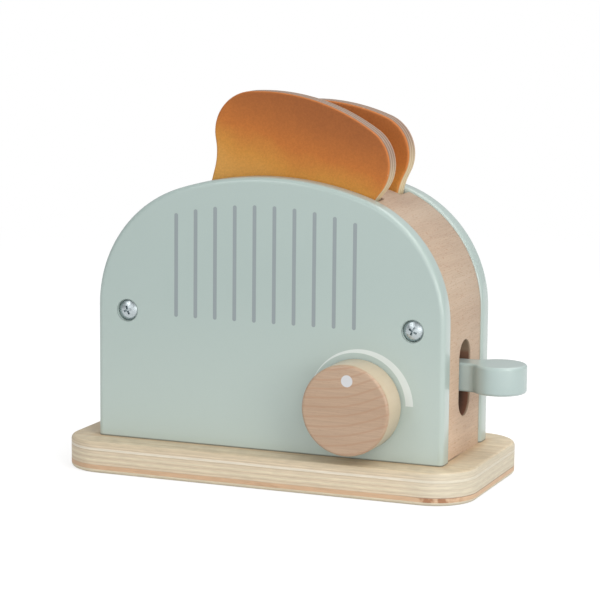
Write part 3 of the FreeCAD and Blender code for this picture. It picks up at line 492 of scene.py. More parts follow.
# A band is the height of its middle and half its own height.
RUDDY_BAND = (2.85 * MM, 1.05 * MM)
GREY_PLY, GREY_SHARE, GREY_SPAN, RUDDY_SPARED = tone(203, 197, 180), 0.55, (0.062, 0.096), 0.85
KNOT_TONE, KNOT_SHARE, STRAY_KNOTS = tone(152, 98, 62), 0.8, 0.4
KNOTS_X, KNOTS_SPAN = 0.087, (0.013, 0.004)
DARK_GLUE, DARK_GLUE_BAND = tone(146, 112, 92), (3.95 * MM, 0.2 * MM)
DARK_GLUE_SPAN, DARK_GLUE_SHARES = (0.06, 0.09), (0.1, 0.7)
VENEER_TONES = (tone(216, 202, 177), tone(210, 194, 167), tone(200, 180, 150))
VENEER_SPAN = (BASE_TOP - 0.0006, BASE_TOP - 0.0003)
# Painted warm shade on the veneer near the feet of the walls.
WALL_SHADE_TONE, WALL_SHADE_SHARE, WALL_SHADE_REACH = tone(190, 154, 112), 0.45, 0.005


def ply_edge(tree, x, z):
    """The plies as the edge shows them, with knots and a greyer right end."""
    height = (cloud(tree, (14, 14, 30)) - 0.5) * PLY_WAVER + z
    bands = [(start * MM / BASE_TOP, colour) for start, colour in PLIES]
    edge = tone_ramp(height / BASE_TOP, bands, "CONSTANT")
    in_ruddy = height.near(*RUDDY_BAND)
    greyed = soft_step(x, GREY_SPAN, end=GREY_SHARE) * (1.0 - in_ruddy * RUDDY_SPARED)
    edge = blend(greyed, edge, GREY_PLY)
    stray = cloud(tree, (52, 52, 300), 3, 0.6, shift=(0.3, 0.0, 0.2))
    cluster = soft_step(cloud(tree, (300, 300, 260)), (0.42, 0.66))
    cluster = cluster * soft_step(abs(x - KNOTS_X), KNOTS_SPAN)
    knots = soft_step(stray, (0.56, 0.7), end=STRAY_KNOTS).larger(cluster)
    edge = blend(in_ruddy * knots * KNOT_SHARE, edge, KNOT_TONE)
    on_glue = height.near(*DARK_GLUE_BAND) * soft_step(x, DARK_GLUE_SPAN, *DARK_GLUE_SHARES)
    return blend(on_glue, edge, DARK_GLUE)


def top_veneer(grain, x, y):
    """The veneer of the top, with a warm painted shade near the feet of the walls."""
    veneer = tone_ramp(grain, list(zip(RING_STOPS, VENEER_TONES)))
    beyond = (abs(x) - PANEL_HALF_WIDTH).larger(abs(y) - PANEL_FACE)
    return blend(soft_step(beyond, (WALL_SHADE_REACH, 0.0), end=WALL_SHADE_SHARE), veneer, WALL_SHADE_TONE)


def base_plywood():
    """Birch plywood, with its plies at the edge and a veneer on top."""
    material, tree, shader = coat("birch_plywood", 0.6)
    x, y, z = split_place(tree)
    grain = cloud(tree, (14, 420, 420), 4, 0.65, 0.3)
    on_top = soft_step(z, VENEER_SPAN)
    colour = blend(on_top, ply_edge(tree, x, z), top_veneer(grain, x, y))
    colour = mottle(colour, cloud(tree, (160, 160, 2400), 2, 0.6), (0.3, 0.7), 0.91, 1.05)
    dress(shader, colour, grain, 0.2, 0.0002)
    return material


base_ply = base_plywood()
print("plywood:", base_ply.name, "in", len(PLIES), "bands")

# %% [markdown]
# ## Toast
# The slices are plywood, stained on their faces from golden crumb to a browner crust and
# left nearly bare round the edge, where the plies show through a thin wash. On the rims a
# brighter orange band is a painted highlight, and the stain is worn off in spots. The
# browning follows the slice's own height, so it is worked out from a line through its lobes.
# The rear slice's faces are painted a little paler, as painted light that lifts the shade
# between the slices.

# %% Toast
FACE_TONES = [(0.0, tone(203, 150, 76)), (0.35, tone(195, 133, 56)),
              (0.62, tone(182, 107, 45)), (1.0, tone(150, 86, 41))]
# Painted light: the paler tone that lifts the shaded rear slice.
PAINTED_LIGHT_TONE = tone(214, 132, 66)
BROWNING_SPAN, BROWNING_DRIFT, BROWNING_LEAN = (-0.032, 0.024), 0.018, 0.07
EDGE_PLY_PITCH, EDGE_PALES = 0.0028, (0.012, -0.012)
UPPER_PLIES = (tone(128, 104, 90), tone(166, 142, 125))
LOWER_PLIES = (tone(214, 192, 150), tone(230, 214, 178))
BARE_SPAN = (0.0006, 0.0014)
# Painted highlight on the rims beside the faces.
RIM_HIGHLIGHT_TONE, RIM_HIGHLIGHT_SHARE, RIM_HIGHLIGHT_SPAN = tone(208, 128, 66), 0.55, (0.00005, 0.0004)
WORN_TONE, WORN_SHARE = tone(226, 196, 160), 1.1
# Where the middle of a slice's lobes lies: X, Z, its lean in degrees, and Y.
FRONT_LOBES = (0.01178, 0.15377, 14.9, -0.0177)
REAR_LOBES = (0.00781, 0.15037, 2.3, 0.0177)


def toast_stain(name, lobe_x, lobe_z, tilt, middle_y, painted_light=0.0):
    """Stained faces and a washed plywood edge for a slice that leans by tilt degrees.

    Painted light says how much paler the faces are painted, to lift the shade between slices.
    """
    material, tree, shader = coat(name, 0.62, Specular_IOR_Level=0.3)
    x, y, z = split_place(tree)
    sine, cosine = math.sin(math.radians(tilt)), math.cos(math.radians(tilt))
    along_x, along_z = x - lobe_x, z - lobe_z
    height = along_x * sine + along_z * cosine
    sideways = along_x * cosine - along_z * sine
    drift = (cloud(tree, 34, 3, 0.55) - 0.5) * BROWNING_DRIFT
    browning = soft_step(height + drift + sideways * BROWNING_LEAN, BROWNING_SPAN)
    # Painted light: the faces are lifted towards a paler tone.
    face = blend(painted_light, tone_ramp(browning, FACE_TONES), PAINTED_LIGHT_TONE)
    speck = cloud(tree, 1300, 3, 0.7)
    face = mottle(face, speck, (0.3, 0.72), 0.9, 1.07)
    depth = y - middle_y
    ply = soft_step((depth * (2 * math.pi / EDGE_PLY_PITCH)).sine(), (-0.6, 0.6))
    upper, lower = blend(ply, *UPPER_PLIES), blend(ply, *LOWER_PLIES)
    edge = blend(soft_step(height, EDGE_PALES), upper, lower)
    from_face = SLICE_THICKNESS / 2 - abs(depth)
    # Painted highlight: a brighter orange band on the rims beside the faces.
    rim_band = soft_step(from_face, RIM_HIGHLIGHT_SPAN, end=RIM_HIGHLIGHT_SHARE)
    colour = blend(rim_band, face, RIM_HIGHLIGHT_TONE)
    colour = blend(soft_step(from_face, BARE_SPAN), colour, edge)
    spots = soft_step(cloud(tree, 520, 2, 0.6), (0.67, 0.73), end=WORN_SHARE)
    dress(shader, blend(rim_band * spots, colour, WORN_TONE), speck, 0.2, 0.00015)
    return material


front_toast = toast_stain("front_toast_stain", *FRONT_LOBES)
rear_toast = toast_stain("rear_toast_stain", *REAR_LOBES, painted_light=0.2)
print("toast:", front_toast.name, "and", rear_toast.name)

# %% [markdown]
# ## Steel
# The screws are bright zinc, the pins are ground rod. Both are metallic; fine noise in the
# roughness breaks up the reflections, as handling and plating do.

# %% Steel


def steel(name, colour, roughness):
    """A metal whose gloss varies in small patches."""
    material, tree, shader = coat(name, roughness, Metallic=1.0)
    patches = cloud(tree, 900, 3, 0.6)
    gloss = soft_step(patches, (0.3, 0.7), roughness - 0.08, roughness + 0.1)
    tree.links.new(gloss.socket, shader.inputs["Roughness"])
    dress(shader, mottle(colour, patches, (0.25, 0.75), 0.9, 1.05), patches, 0.1, 0.00005)
    return material


zinc = steel("zinc_plate", tone(184, 193, 196), 0.3)
pin_steel = steel("ground_steel", tone(198, 198, 198), 0.22)
print("steel:", zinc.name, "and", pin_steel.name)

# %% [markdown]
# ## Drawing an outline
# The arches, blocks, slices and lever are boards sawn to an outline. The pen here starts
# from one vertex: a straight move extrudes it, and an arc spins it round a centre, so the
# curves are true arcs. The outline is filled, pulled up to the board's thickness, its rims
# are bevelled round, and a narrow inset keeps the shading of the flat faces flat.

# %% Board helpers
FLAT_BORDER = 0.0003
RIM_STEPS = 6
TOUCHING = 0.01 * MM


def draw(bm, start, moves):
    """Draws a closed outline in the XY plane and returns its edges.

    A move is a point to go straight to, or a centre, a turn in degrees and a step count.
    """
    before = set(bm.edges)
    first = last = bmesh.ops.create_vert(bm, co=(*start, 0))["vert"][0]
    for move in moves:
        if len(move) == 2:
            last = bmesh.ops.extrude_vert_indiv(bm, verts=[last])["verts"][0]
            last.co = (*move, 0)
        else:
            centre, turn, steps = move
            swept = bmesh.ops.spin(bm, geom=[last], cent=(*centre, 0), axis=(0, 0, 1),
                                   angle=math.radians(turn), steps=steps)
            last = next(g for g in swept["geom_last"] if isinstance(g, bmesh.types.BMVert))
    if (last.co - first.co).length < TOUCHING:
        bmesh.ops.pointmerge(bm, verts=[last, first], merge_co=first.co)
    else:
        bmesh.ops.contextual_create(bm, geom=[last, first])
    return [edge for edge in bm.edges if edge not in before]


def pull(bm, outline, height):
    """Fills an outline, pulls a copy of the face to a height and returns its corners."""
    face = bmesh.ops.contextual_create(bm, geom=outline)["faces"][0]
    pulled = bmesh.ops.extrude_face_region(bm, geom=[face])["geom"]
    corners = [g for g in pulled if isinstance(g, bmesh.types.BMVert)]
    bmesh.ops.translate(bm, verts=corners, vec=(0, 0, height))
    return corners


def round_edges(bm, edges, radius, steps):
    """Bevels edges to a radius."""
    bmesh.ops.bevel(bm, geom=edges, offset=radius, offset_type="OFFSET", segments=steps,
                    profile=0.5, affect="EDGES", material=-1, clamp_overlap=True)


def board(start, moves, thickness, rim=0.0, square_edge=lambda edge: False, steps=RIM_STEPS):
    """A board sawn to an outline, from height 0 up, with its rims rounded."""
    bm = bmesh.new()
    pull(bm, draw(bm, start, moves), thickness)
    bmesh.ops.recalc_face_normals(bm, faces=bm.faces[:])
    rims = [edge for edge in bm.edges if not square_edge(edge)
            and abs(edge.verts[0].co.z - edge.verts[1].co.z) < TOUCHING]
    round_edges(bm, rims, rim, steps)
    broad = sorted(bm.faces, key=lambda face: -face.calc_area())[:2]
    for flat in sorted(broad, key=lambda face: face.calc_center_median().z):
        bmesh.ops.inset_region(bm, faces=[flat], thickness=FLAT_BORDER, use_even_offset=True)
    return bm


def ring(bm, centre, radius, turn=Matrix.Identity(4), steps=32):
    """An open circle of edges, turned out of the XY plane if asked."""
    place = Matrix.Translation(centre) @ turn
    made = bmesh.ops.create_circle(bm, cap_ends=False, segments=steps, radius=radius, matrix=place)
    return list({edge for vert in made["verts"] for edge in vert.link_edges})


def open_face(bm, face, loops):
    """Takes a flat face away and fills it again round the loops that lie in it."""
    border = list(face.edges)
    normal = face.normal.copy()
    bmesh.ops.delete(bm, geom=[face], context="FACES_ONLY")
    rims = border + [edge for loop in loops for edge in loop]
    bmesh.ops.triangle_fill(bm, edges=rims, use_beauty=True, use_dissolve=False, normal=normal)


def facing(bm, direction, beyond=0.999):
    """The broadest face that looks in a direction."""
    seen = [face for face in bm.faces if face.normal.dot(Vector(direction)) > beyond]
    return max(seen, key=lambda face: face.calc_area())


print("board helpers ready")

# %% [markdown]
# ## From a mesh to a piece
# A board is drawn lying down, so it is turned upright and moved to its place, and then it
# becomes an object. Each piece rides on a moving body of the model, stands for the solids
# that it hides, and takes a material. Its place goes into the mesh and not into the object,
# so that its finish, which reads the place, lines up with the pieces beside it.

# %% Piece helpers
UPRIGHT = turned(90, "X")
SHARP_ANGLE = math.radians(32)


def stand(bm, spot, turn=UPRIGHT):
    """Turns all that is drawn, and moves it to a spot."""
    bmesh.ops.transform(bm, verts=bm.verts[:], matrix=Matrix.Translation(spot) @ turn)


def as_object(bm, name):
    """Makes an object from a bmesh and frees the bmesh."""
    mesh = bpy.data.meshes.new(name)
    bm.to_mesh(mesh)
    bm.free()
    return put(name, mesh)


def finish_piece(bm, name, body, slot, material, *nodes):
    """Turns a bmesh into a piece that rides on a body and stands for its CAD nodes."""
    bmesh.ops.recalc_face_normals(bm, faces=bm.faces[:])
    closed = all(edge.is_manifold for edge in bm.edges)
    piece = as_object(bm, name)
    piece.data.shade_smooth()
    piece.data.set_sharp_from_angle(angle=SHARP_ANGLE)
    piece.data.materials.append(material)
    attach(piece, body)
    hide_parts(*nodes)
    size = " x ".join(f"{side / MM:.1f}" for side in piece.dimensions)
    print(f"{name}: {size} mm, {len(piece.data.polygons)} faces, closed {closed}")


print("piece helpers ready")

# %% [markdown]
# ## Base board
# A rectangle with round corners, drawn corner by corner, and both rims eased as a sanding
# block leaves them.

# %% Base board
BASE_HALF_LENGTH, BASE_HALF_DEPTH = 0.100, 0.048
BASE_CORNER, BASE_CORNER_STEPS = 0.0205, 20
BASE_EASE = 0.0018


def base_outline():
    """Moves round the base, counterclockwise from the front left corner."""
    x, y = BASE_HALF_LENGTH - BASE_CORNER, BASE_HALF_DEPTH - BASE_CORNER
    return (-x, -BASE_HALF_DEPTH), [
        (x, -BASE_HALF_DEPTH), ((x, -y), 90, BASE_CORNER_STEPS),
        (BASE_HALF_LENGTH, y), ((x, y), 90, BASE_CORNER_STEPS),
        (-x, BASE_HALF_DEPTH), ((-x, y), 90, BASE_CORNER_STEPS),
        (-BASE_HALF_LENGTH, -y), ((-x, -y), 90, BASE_CORNER_STEPS),
    ]


base = board(*base_outline(), BASE_TOP, rim=BASE_EASE)
finish_piece(base, "plywood_base", "housing", "base_ply", base_ply, "base_board")

# %% [markdown]
# ## Arched panels
# Each arch has straight sides, two round shoulders and a flatter crown that meets them
# without a corner. The screws sit in counterbores, and the front panel has a hole for the
# knob's spindle. The holes could be cut with a Boolean, but here they are drawn as rings in
# the flat faces and bridged into walls, which keeps every face clean.

# %% Arched panels
SHOULDER_RADIUS, CROWN_RADIUS = 0.059, 0.143
SHOULDER_STEPS, CROWN_STEPS = 26, 22
PANEL_RIM, PANEL_FOOT_RIM, PANEL_FOOT_STEPS = 0.0022, 0.0008, 3
SHANK_HOLE_RADIUS, SPINDLE_HOLE_RADIUS = 0.0025, 0.0041


def arch_facts(inset):
    """Half width, shoulder centre, crown centre and turn of the arch, drawn in by inset."""
    shoulder, crown = SHOULDER_RADIUS - inset, CROWN_RADIUS - inset
    half = PANEL_HALF_WIDTH - inset
    across = half - shoulder
    crown_y = PANEL_HEIGHT - CROWN_RADIUS
    rise = math.sqrt((crown - shoulder) ** 2 - across ** 2)
    return half, across, crown_y + rise, crown_y, math.degrees(math.atan2(rise, across))


def arch_outline():
    """Moves round a panel from its lower left corner."""
    half, across, shoulder_y, crown_y, turn = arch_facts(0)
    return (-half, 0), [
        (half, 0),
        (half, shoulder_y),
        ((across, shoulder_y), turn, SHOULDER_STEPS),
        ((0, crown_y), 180 - 2 * turn, CROWN_STEPS),
        ((-across, shoulder_y), turn, SHOULDER_STEPS),
    ]


def panel(with_knob):
    """A panel with its outer face up, ready to be stood upright."""
    bm = board(*arch_outline(), PANEL_THICKNESS, rim=PANEL_RIM,
               square_edge=lambda edge: max(vert.co.y for vert in edge.verts) < TOUCHING)
    foot = facing(bm, (0, -1, 0))
    round_edges(bm, foot.edges[:], PANEL_FOOT_RIM, PANEL_FOOT_STEPS)
    floor = PANEL_THICKNESS - COUNTERBORE_DEPTH
    counterbored = [(PANEL_THICKNESS, COUNTERBORE_RADIUS), (floor, COUNTERBORE_RADIUS),
                    (floor, SHANK_HOLE_RADIUS), (0, SHANK_HOLE_RADIUS)]
    drilled = [(-SCREW_X, SCREW_Z, counterbored), (SCREW_X, SCREW_Z, counterbored)]
    if with_knob:
        straight = [(PANEL_THICKNESS, SPINDLE_HOLE_RADIUS), (0, SPINDLE_HOLE_RADIUS)]
        drilled.append((KNOB_X, KNOB_Z, straight))
    holes = [[ring(bm, (x, z - BASE_TOP, depth), radius) for depth, radius in steps]
             for x, z, steps in drilled]
    open_face(bm, facing(bm, (0, 0, 1)), [hole[0] for hole in holes])
    open_face(bm, facing(bm, (0, 0, -1)), [hole[-1] for hole in holes])
    for hole in holes:
        for upper, lower in zip(hole, hole[1:]):
            bmesh.ops.bridge_loops(bm, edges=upper + lower)
    return bm


front = panel(with_knob=True)
stand(front, (0, -CORE_HALF_DEPTH, BASE_TOP))
finish_piece(front, "front_arch", "housing", "mint_lacquer", printed_mint, "front_panel")

rear = panel(with_knob=False)
stand(rear, (0, CORE_HALF_DEPTH, BASE_TOP), turned(180, "Z") @ UPRIGHT)
finish_piece(rear, "rear_arch", "housing", "mint_lacquer", mint, "rear_panel")

# %% [markdown]
# ## Beech core
# The core is the same arch, one millimetre smaller, in three pieces: a block at each side
# and a divider between the toast slots. Each is a board as thick as the core is deep. The
# lever's slot is a long round-ended ring on both sides of the right block, bridged through.

# %% Beech core
SLOT_END = 0.0485
DIVIDER_BOTTOM, DIVIDER_HALF_DEPTH = 0.09362, 0.0105
ARRIS, ARRIS_STEPS = 0.0004, 2
BLOCK_STEPS, DIVIDER_STEPS, DIVIDER_END_STEPS = 20, 18, 3
LEVER_SLOT_LOW, LEVER_SLOT_HIGH, LEVER_SLOT_STEPS = 0.04062, 0.05964, 16


def core_outlines():
    """Where each outline starts and how it goes: left block, right block and divider."""
    half, across, shoulder_y, crown_y, turn = arch_facts(CORE_INSET)
    radius = SHOULDER_RADIUS - CORE_INSET
    down = math.degrees(math.acos((SLOT_END - across) / radius))
    mouth = shoulder_y + radius * math.sin(math.radians(down))
    left = (-half, 0), [
        (-SLOT_END, 0),
        (-SLOT_END, mouth),
        ((-across, shoulder_y), down, BLOCK_STEPS),
    ]
    right = (SLOT_END, 0), [
        (half, 0),
        (half, shoulder_y),
        ((across, shoulder_y), down, BLOCK_STEPS),
    ]
    divider = (-SLOT_END, DIVIDER_BOTTOM), [
        (SLOT_END, DIVIDER_BOTTOM),
        (SLOT_END, mouth),
        ((across, shoulder_y), turn - down, DIVIDER_END_STEPS),
        ((0, crown_y), 180 - 2 * turn, DIVIDER_STEPS),
        ((-across, shoulder_y), turn - down, DIVIDER_END_STEPS),
    ]
    return left, right, divider


def core_board(outline, half_depth):
    """A board of the core, stood upright with its thickness shared about the middle."""
    bm = board(*outline, 2 * half_depth, rim=ARRIS, steps=ARRIS_STEPS)
    stand(bm, (0, half_depth, BASE_TOP))
    return bm


def pierce(bm, face, opposite, loops):
    """Runs a hole from one flat face to the one opposite."""
    for side, loop in zip((face, opposite), loops):
        open_face(bm, side, [loop])
    bmesh.ops.bridge_loops(bm, edges=loops[0] + loops[1])


def slot_loop(bm, x):
    """The lever slot's outline in the plane of a given X."""
    low, high, radius = LEVER_SLOT_LOW, LEVER_SLOT_HIGH, LEVER_SLOT_RADIUS
    edges = draw(bm, (radius, low), [(radius, high), ((0, high), 180, LEVER_SLOT_STEPS),
                                     (-radius, low), ((0, low), 180, LEVER_SLOT_STEPS)])
    verts = list({vert for edge in edges for vert in edge.verts})
    place = Matrix.Translation((x, 0, 0)) @ turned(90, "Z") @ UPRIGHT
    bmesh.ops.transform(bm, verts=verts, matrix=place)
    return edges


left_outline, right_outline, divider_outline = core_outlines()
left = core_board(left_outline, CORE_HALF_DEPTH)
finish_piece(left, "left_cheek", "housing", "beech", beech, "left_block")

right = core_board(right_outline, CORE_HALF_DEPTH)
outer, inner = facing(right, (1, 0, 0)), facing(right, (-1, 0, 0))
pierce(right, outer, inner, [slot_loop(right, CORE_SIDE), slot_loop(right, SLOT_END)])
finish_piece(right, "right_cheek", "housing", "beech", cheek_beech, "right_block")

middle = core_board(divider_outline, DIVIDER_HALF_DEPTH)
finish_piece(middle, "slot_divider", "housing", "beech", beech, "centre_divider")

# %% [markdown]
# ## Rocking lever
# The lever is cut from one board: a round paddle outside, a neck with hollow fillets, and a
# long arm inside. Its rims are rounded with a tenth of its thickness, which gives the soft
# edge that a child's toy needs. The pin's bore runs across it.

# %% Rocking lever
PIN_X, PIN_Z, PIN_BORE_RADIUS = 0.062, 0.0513, 0.0031
LEVER_THICKNESS, LEVER_RIM = 0.0132, 0.0014
NECK_HALF, NECK_FILLET, NECK_STEPS = 0.0065, 0.005, 8
DISC_X, DISC_RADIUS, DISC_STEPS = 0.10116, 0.0125, 56
ARM_END_X = 0.0044


def lever_outline():
    """Moves round the lever's plan, counterclockwise from the inner end."""
    across = NECK_HALF + NECK_FILLET
    blend_x = DISC_X - math.sqrt((DISC_RADIUS + NECK_FILLET) ** 2 - across ** 2)
    lean = math.degrees(math.atan2(across, DISC_X - blend_x))
    return (ARM_END_X, -NECK_HALF), [
        (blend_x, -NECK_HALF),
        ((blend_x, -across), lean - 90, NECK_STEPS),
        ((DISC_X, 0), 360 - 2 * lean, DISC_STEPS),
        ((blend_x, across), lean - 90, NECK_STEPS),
        (ARM_END_X, NECK_HALF),
    ]


lever = board(*lever_outline(), LEVER_THICKNESS, rim=LEVER_RIM)
stand(lever, (0, 0, PIN_Z - LEVER_THICKNESS / 2), Matrix.Identity(4))
bores = [ring(lever, (PIN_X, y, PIN_Z), PIN_BORE_RADIUS, UPRIGHT) for y in (-NECK_HALF, NECK_HALF)]
pierce(lever, facing(lever, (0, -1, 0)), facing(lever, (0, 1, 0)), bores)
finish_piece(lever, "rocking_lever", "lever", "mint_lacquer", lever_mint, "lever")

# %% [markdown]
# ## Slices of toast
# A slice is a board with a flat crown, two round lobes, a narrower waist and round feet,
# all joined arc to arc. It is drawn about the middle of its lobes, leaned, and stood in its
# slot where the model has it.

# %% Slices of toast
LOBE_X, LOBE_RADIUS, LOBE_STEPS = 0.0247, 0.0188, 30
SLICE_CROWN, SLICE_CROWN_STEPS = 0.095, 20
WAIST_RADIUS, WAIST_DEPTH, WAIST_STEPS = 0.030, 0.005, 10
SLICE_DROP, FOOT_RADIUS, FOOT_STEPS = 0.0612, 0.016, 16
SLICE_RIM, SLICE_RIM_STEPS = 0.001, 4


def slice_outline():
    """Moves round a slice, counterclockwise from its left foot."""
    half = LOBE_X + LOBE_RADIUS - WAIST_DEPTH
    crown_y = -math.sqrt((SLICE_CROWN - LOBE_RADIUS) ** 2 - LOBE_X ** 2)
    crown_turn = math.degrees(math.atan2(-crown_y, LOBE_X))
    waist_x = half + WAIST_RADIUS
    waist_y = -math.sqrt((LOBE_RADIUS + WAIST_RADIUS) ** 2 - (waist_x - LOBE_X) ** 2)
    waist_turn = math.degrees(math.atan2(-waist_y, waist_x - LOBE_X))
    foot_x, foot_y = half - FOOT_RADIUS, FOOT_RADIUS - SLICE_DROP
    return (-foot_x, -SLICE_DROP), [
        (foot_x, -SLICE_DROP),
        ((foot_x, foot_y), 90, FOOT_STEPS),
        (half, waist_y),
        ((waist_x, waist_y), -waist_turn, WAIST_STEPS),
        ((LOBE_X, 0), waist_turn + crown_turn, LOBE_STEPS),
        ((0, crown_y), 180 - 2 * crown_turn, SLICE_CROWN_STEPS),
        ((-LOBE_X, 0), waist_turn + crown_turn, LOBE_STEPS),
        ((-waist_x, waist_y), -waist_turn, WAIST_STEPS),
        (-half, foot_y),
        ((-foot_x, foot_y), 90, FOOT_STEPS),
    ]


def toast_slice(name, body, material, cad_node, lobes):
    """A leaning slice whose lobes lie about a given point."""
    x, z, tilt, y = lobes
    bm = board(*slice_outline(), SLICE_THICKNESS, rim=SLICE_RIM, steps=SLICE_RIM_STEPS)
    stand(bm, (x, y + SLICE_THICKNESS / 2, z), turned(tilt, "Y") @ UPRIGHT)
    finish_piece(bm, name, body, "toast_ply", material, cad_node)


toast_slice("front_slice_of_toast", "front_slice", front_toast, "toast_front", FRONT_LOBES)
toast_slice("rear_slice_of_toast", "rear_slice", rear_toast, "toast_rear", REAR_LOBES)

# %% [markdown]
# ## Turned knob
# A knob is turned on a lathe, so it is drawn as half a section and spun about its axis. A
# line of the section that lies on the axis sweeps no face, so it is taken out again. The two
# rims are bevelled afterwards, and a blind bore takes the spindle at the back.

# %% Turned knob
KNOB_BACK_RADIUS, KNOB_BACK_RIM, KNOB_BACK_STEPS = 0.021, 0.001, 4
KNOB_FRONT_RADIUS, KNOB_FRONT_RIM, KNOB_FRONT_STEPS = 0.02085, 0.0015, 8
KNOB_BORE_RADIUS, KNOB_BORE_DEPTH = 0.004, 0.009
LATHE_STEPS = 96


def lathe(section, steps=LATHE_STEPS):
    """Spins a section, given as radius and height pairs, about the Z axis."""
    bm = bmesh.new()
    last = bmesh.ops.create_vert(bm, co=(section[0][0], 0, section[0][1]))["vert"][0]
    for radius, height in section[1:]:
        last = bmesh.ops.extrude_vert_indiv(bm, verts=[last])["verts"][0]
        last.co = (radius, 0, height)
    bmesh.ops.spin(bm, geom=bm.verts[:] + bm.edges[:], cent=(0, 0, 0), axis=(0, 0, 1),
                   angle=2 * math.pi, steps=steps, use_merge=True)
    bmesh.ops.remove_doubles(bm, verts=bm.verts[:], dist=TOUCHING / 10)
    bmesh.ops.delete(bm, geom=[edge for edge in bm.edges if edge.is_wire], context="EDGES")
    bmesh.ops.recalc_face_normals(bm, faces=bm.faces[:])
    return bm


def edges_at(bm, radius):
    """The ring of edges that lies at a given radius."""
    return [edge for edge in bm.edges
            if all(abs(vert.co.xy.length - radius) < TOUCHING for vert in edge.verts)]


knob = lathe([
    (KNOB_BORE_RADIUS, 0),
    (KNOB_BACK_RADIUS - KNOB_BACK_RIM - FLAT_BORDER, 0),
    (KNOB_BACK_RADIUS, 0),
    (KNOB_FRONT_RADIUS, KNOB_DEPTH),
    (KNOB_FRONT_RADIUS - KNOB_FRONT_RIM - FLAT_BORDER, KNOB_DEPTH),
    (0, KNOB_DEPTH),
    (0, KNOB_BORE_DEPTH),
    (KNOB_BORE_RADIUS, KNOB_BORE_DEPTH),
    (KNOB_BORE_RADIUS, 0),
])
round_edges(knob, edges_at(knob, KNOB_BACK_RADIUS), KNOB_BACK_RIM, KNOB_BACK_STEPS)
round_edges(knob, edges_at(knob, KNOB_FRONT_RADIUS), KNOB_FRONT_RIM, KNOB_FRONT_STEPS)
stand(knob, (KNOB_X, KNOB_BACK, KNOB_Z))
finish_piece(knob, "turned_knob", "knob", "knob_beech", knob_beech, "knob")

# %% [markdown]
# ## Panel screws
# Four pan-head screws show in the counterbores. Each is lathed, and its cross recess is cut
# by a tapered plus with a Boolean, which follows the dome of the head, as a stamped recess
# does. One mesh is made and copied to the four places, each turned as the driver left it.

# %% Panel screws
HEAD_RADIUS, HEAD_HEIGHT, HEAD_RIM_SHARE = 0.0047, 0.0029, 0.56
DOME_STEPS, SCREW_STEPS = 7, 40
SHANK_RADIUS, SCREW_LENGTH = 0.00225, 0.024
RECESS_ARM, RECESS_HALF_WIDTH, RECESS_DEPTH, RECESS_TAPER = 0.0026, 0.0006, 0.0017, 0.55


def screw_section():
    """Half a pan head with a domed top, from the tip of the shank to the middle of the dome."""
    rim = HEAD_HEIGHT * HEAD_RIM_SHARE
    dome = HEAD_HEIGHT - rim
    radius = (HEAD_RADIUS ** 2 + dome ** 2) / (2 * dome)
    section = [(0, -SCREW_LENGTH), (SHANK_RADIUS, 2 * SHANK_RADIUS - SCREW_LENGTH),
               (SHANK_RADIUS, 0), (HEAD_RADIUS, 0), (HEAD_RADIUS, rim)]
    for step in range(1, DOME_STEPS + 1):
        across = HEAD_RADIUS * (1 - step / DOME_STEPS)
        section.append((across, HEAD_HEIGHT - radius + math.sqrt(radius ** 2 - across ** 2)))
    return section


def plus_cutter():
    """A cross that narrows as it goes down."""
    arm, half = RECESS_ARM, RECESS_HALF_WIDTH
    bm = bmesh.new()
    outline = draw(bm, (half, half), [
        (half, arm), (-half, arm), (-half, half), (-arm, half), (-arm, -half), (-half, -half),
        (-half, -arm), (half, -arm), (half, -half), (arm, -half), (arm, half)])
    lower = pull(bm, outline, -RECESS_DEPTH - MM)
    bmesh.ops.scale(bm, verts=lower, vec=(RECESS_TAPER, RECESS_TAPER, 1))
    bmesh.ops.translate(bm, verts=bm.verts[:], vec=(0, 0, HEAD_HEIGHT + MM))
    bmesh.ops.recalc_face_normals(bm, faces=bm.faces[:])
    return bm


def screw_mesh():
    """The finished screw as a mesh, head up, with its head bearing at height 0."""
    blank = as_object(lathe(screw_section(), SCREW_STEPS), "screw_blank")
    cutter = as_object(plus_cutter(), "plus_cutter")
    cut = blank.modifiers.new("recess", "BOOLEAN")
    cut.operation, cut.solver, cut.object = "DIFFERENCE", "EXACT", cutter
    ready = blank.evaluated_get(bpy.context.evaluated_depsgraph_get())
    mesh = bpy.data.meshes.new_from_object(ready)
    for spent in (blank, cutter):
        bpy.data.objects.remove(spent)
    return mesh


screw = screw_mesh()
SCREW_FLOOR = PANEL_FACE - COUNTERBORE_DEPTH
SCREWS = {"front_screw_left": (-1, -1, 20), "front_screw_right": (1, -1, 62),
          "rear_screw_left": (-1, 1, 41), "rear_screw_right": (1, 1, 8)}
for name, (side, rearward, twist) in SCREWS.items():
    bm = bmesh.new()
    bm.from_mesh(screw)
    bmesh.ops.remove_doubles(bm, verts=bm.verts[:], dist=TOUCHING / 10)
    turn = turned(-90 * rearward, "X") @ turned(twist, "Z")
    stand(bm, (side * SCREW_X, rearward * SCREW_FLOOR, SCREW_Z), turn)
    stands_for = "rear_panel_screws" if rearward == 1 else "front_panel_screws"
    finish_piece(bm, name, "housing", "screw_steel", zinc, stands_for)

# %% [markdown]
# ## Pieces kept as the model has them
# Pins, dowels, the washer, the shelf and the post are plain or hidden. Their solids are
# right already, so they keep their meshes and only get a finish.

# %% Carried-over pieces
CARRIED = {
    zinc: ("base_screws", "shelf_screws", "knob_screw", "knob_washer"),
    pin_steel: ("pivot_pin", "guide_pins"),
    beech: ("rest_block", "lift_post"),
    shelf_beech: ("lift_shelf",),
    dowel_beech: ("panel_dowels", "divider_dowels", "knob_spindle"),
}
for material, names in CARRIED.items():
    for name in names:
        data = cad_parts[name].data
        data.materials.clear()
        data.materials.append(material)
    print(f"{material.name}:", ", ".join(names))

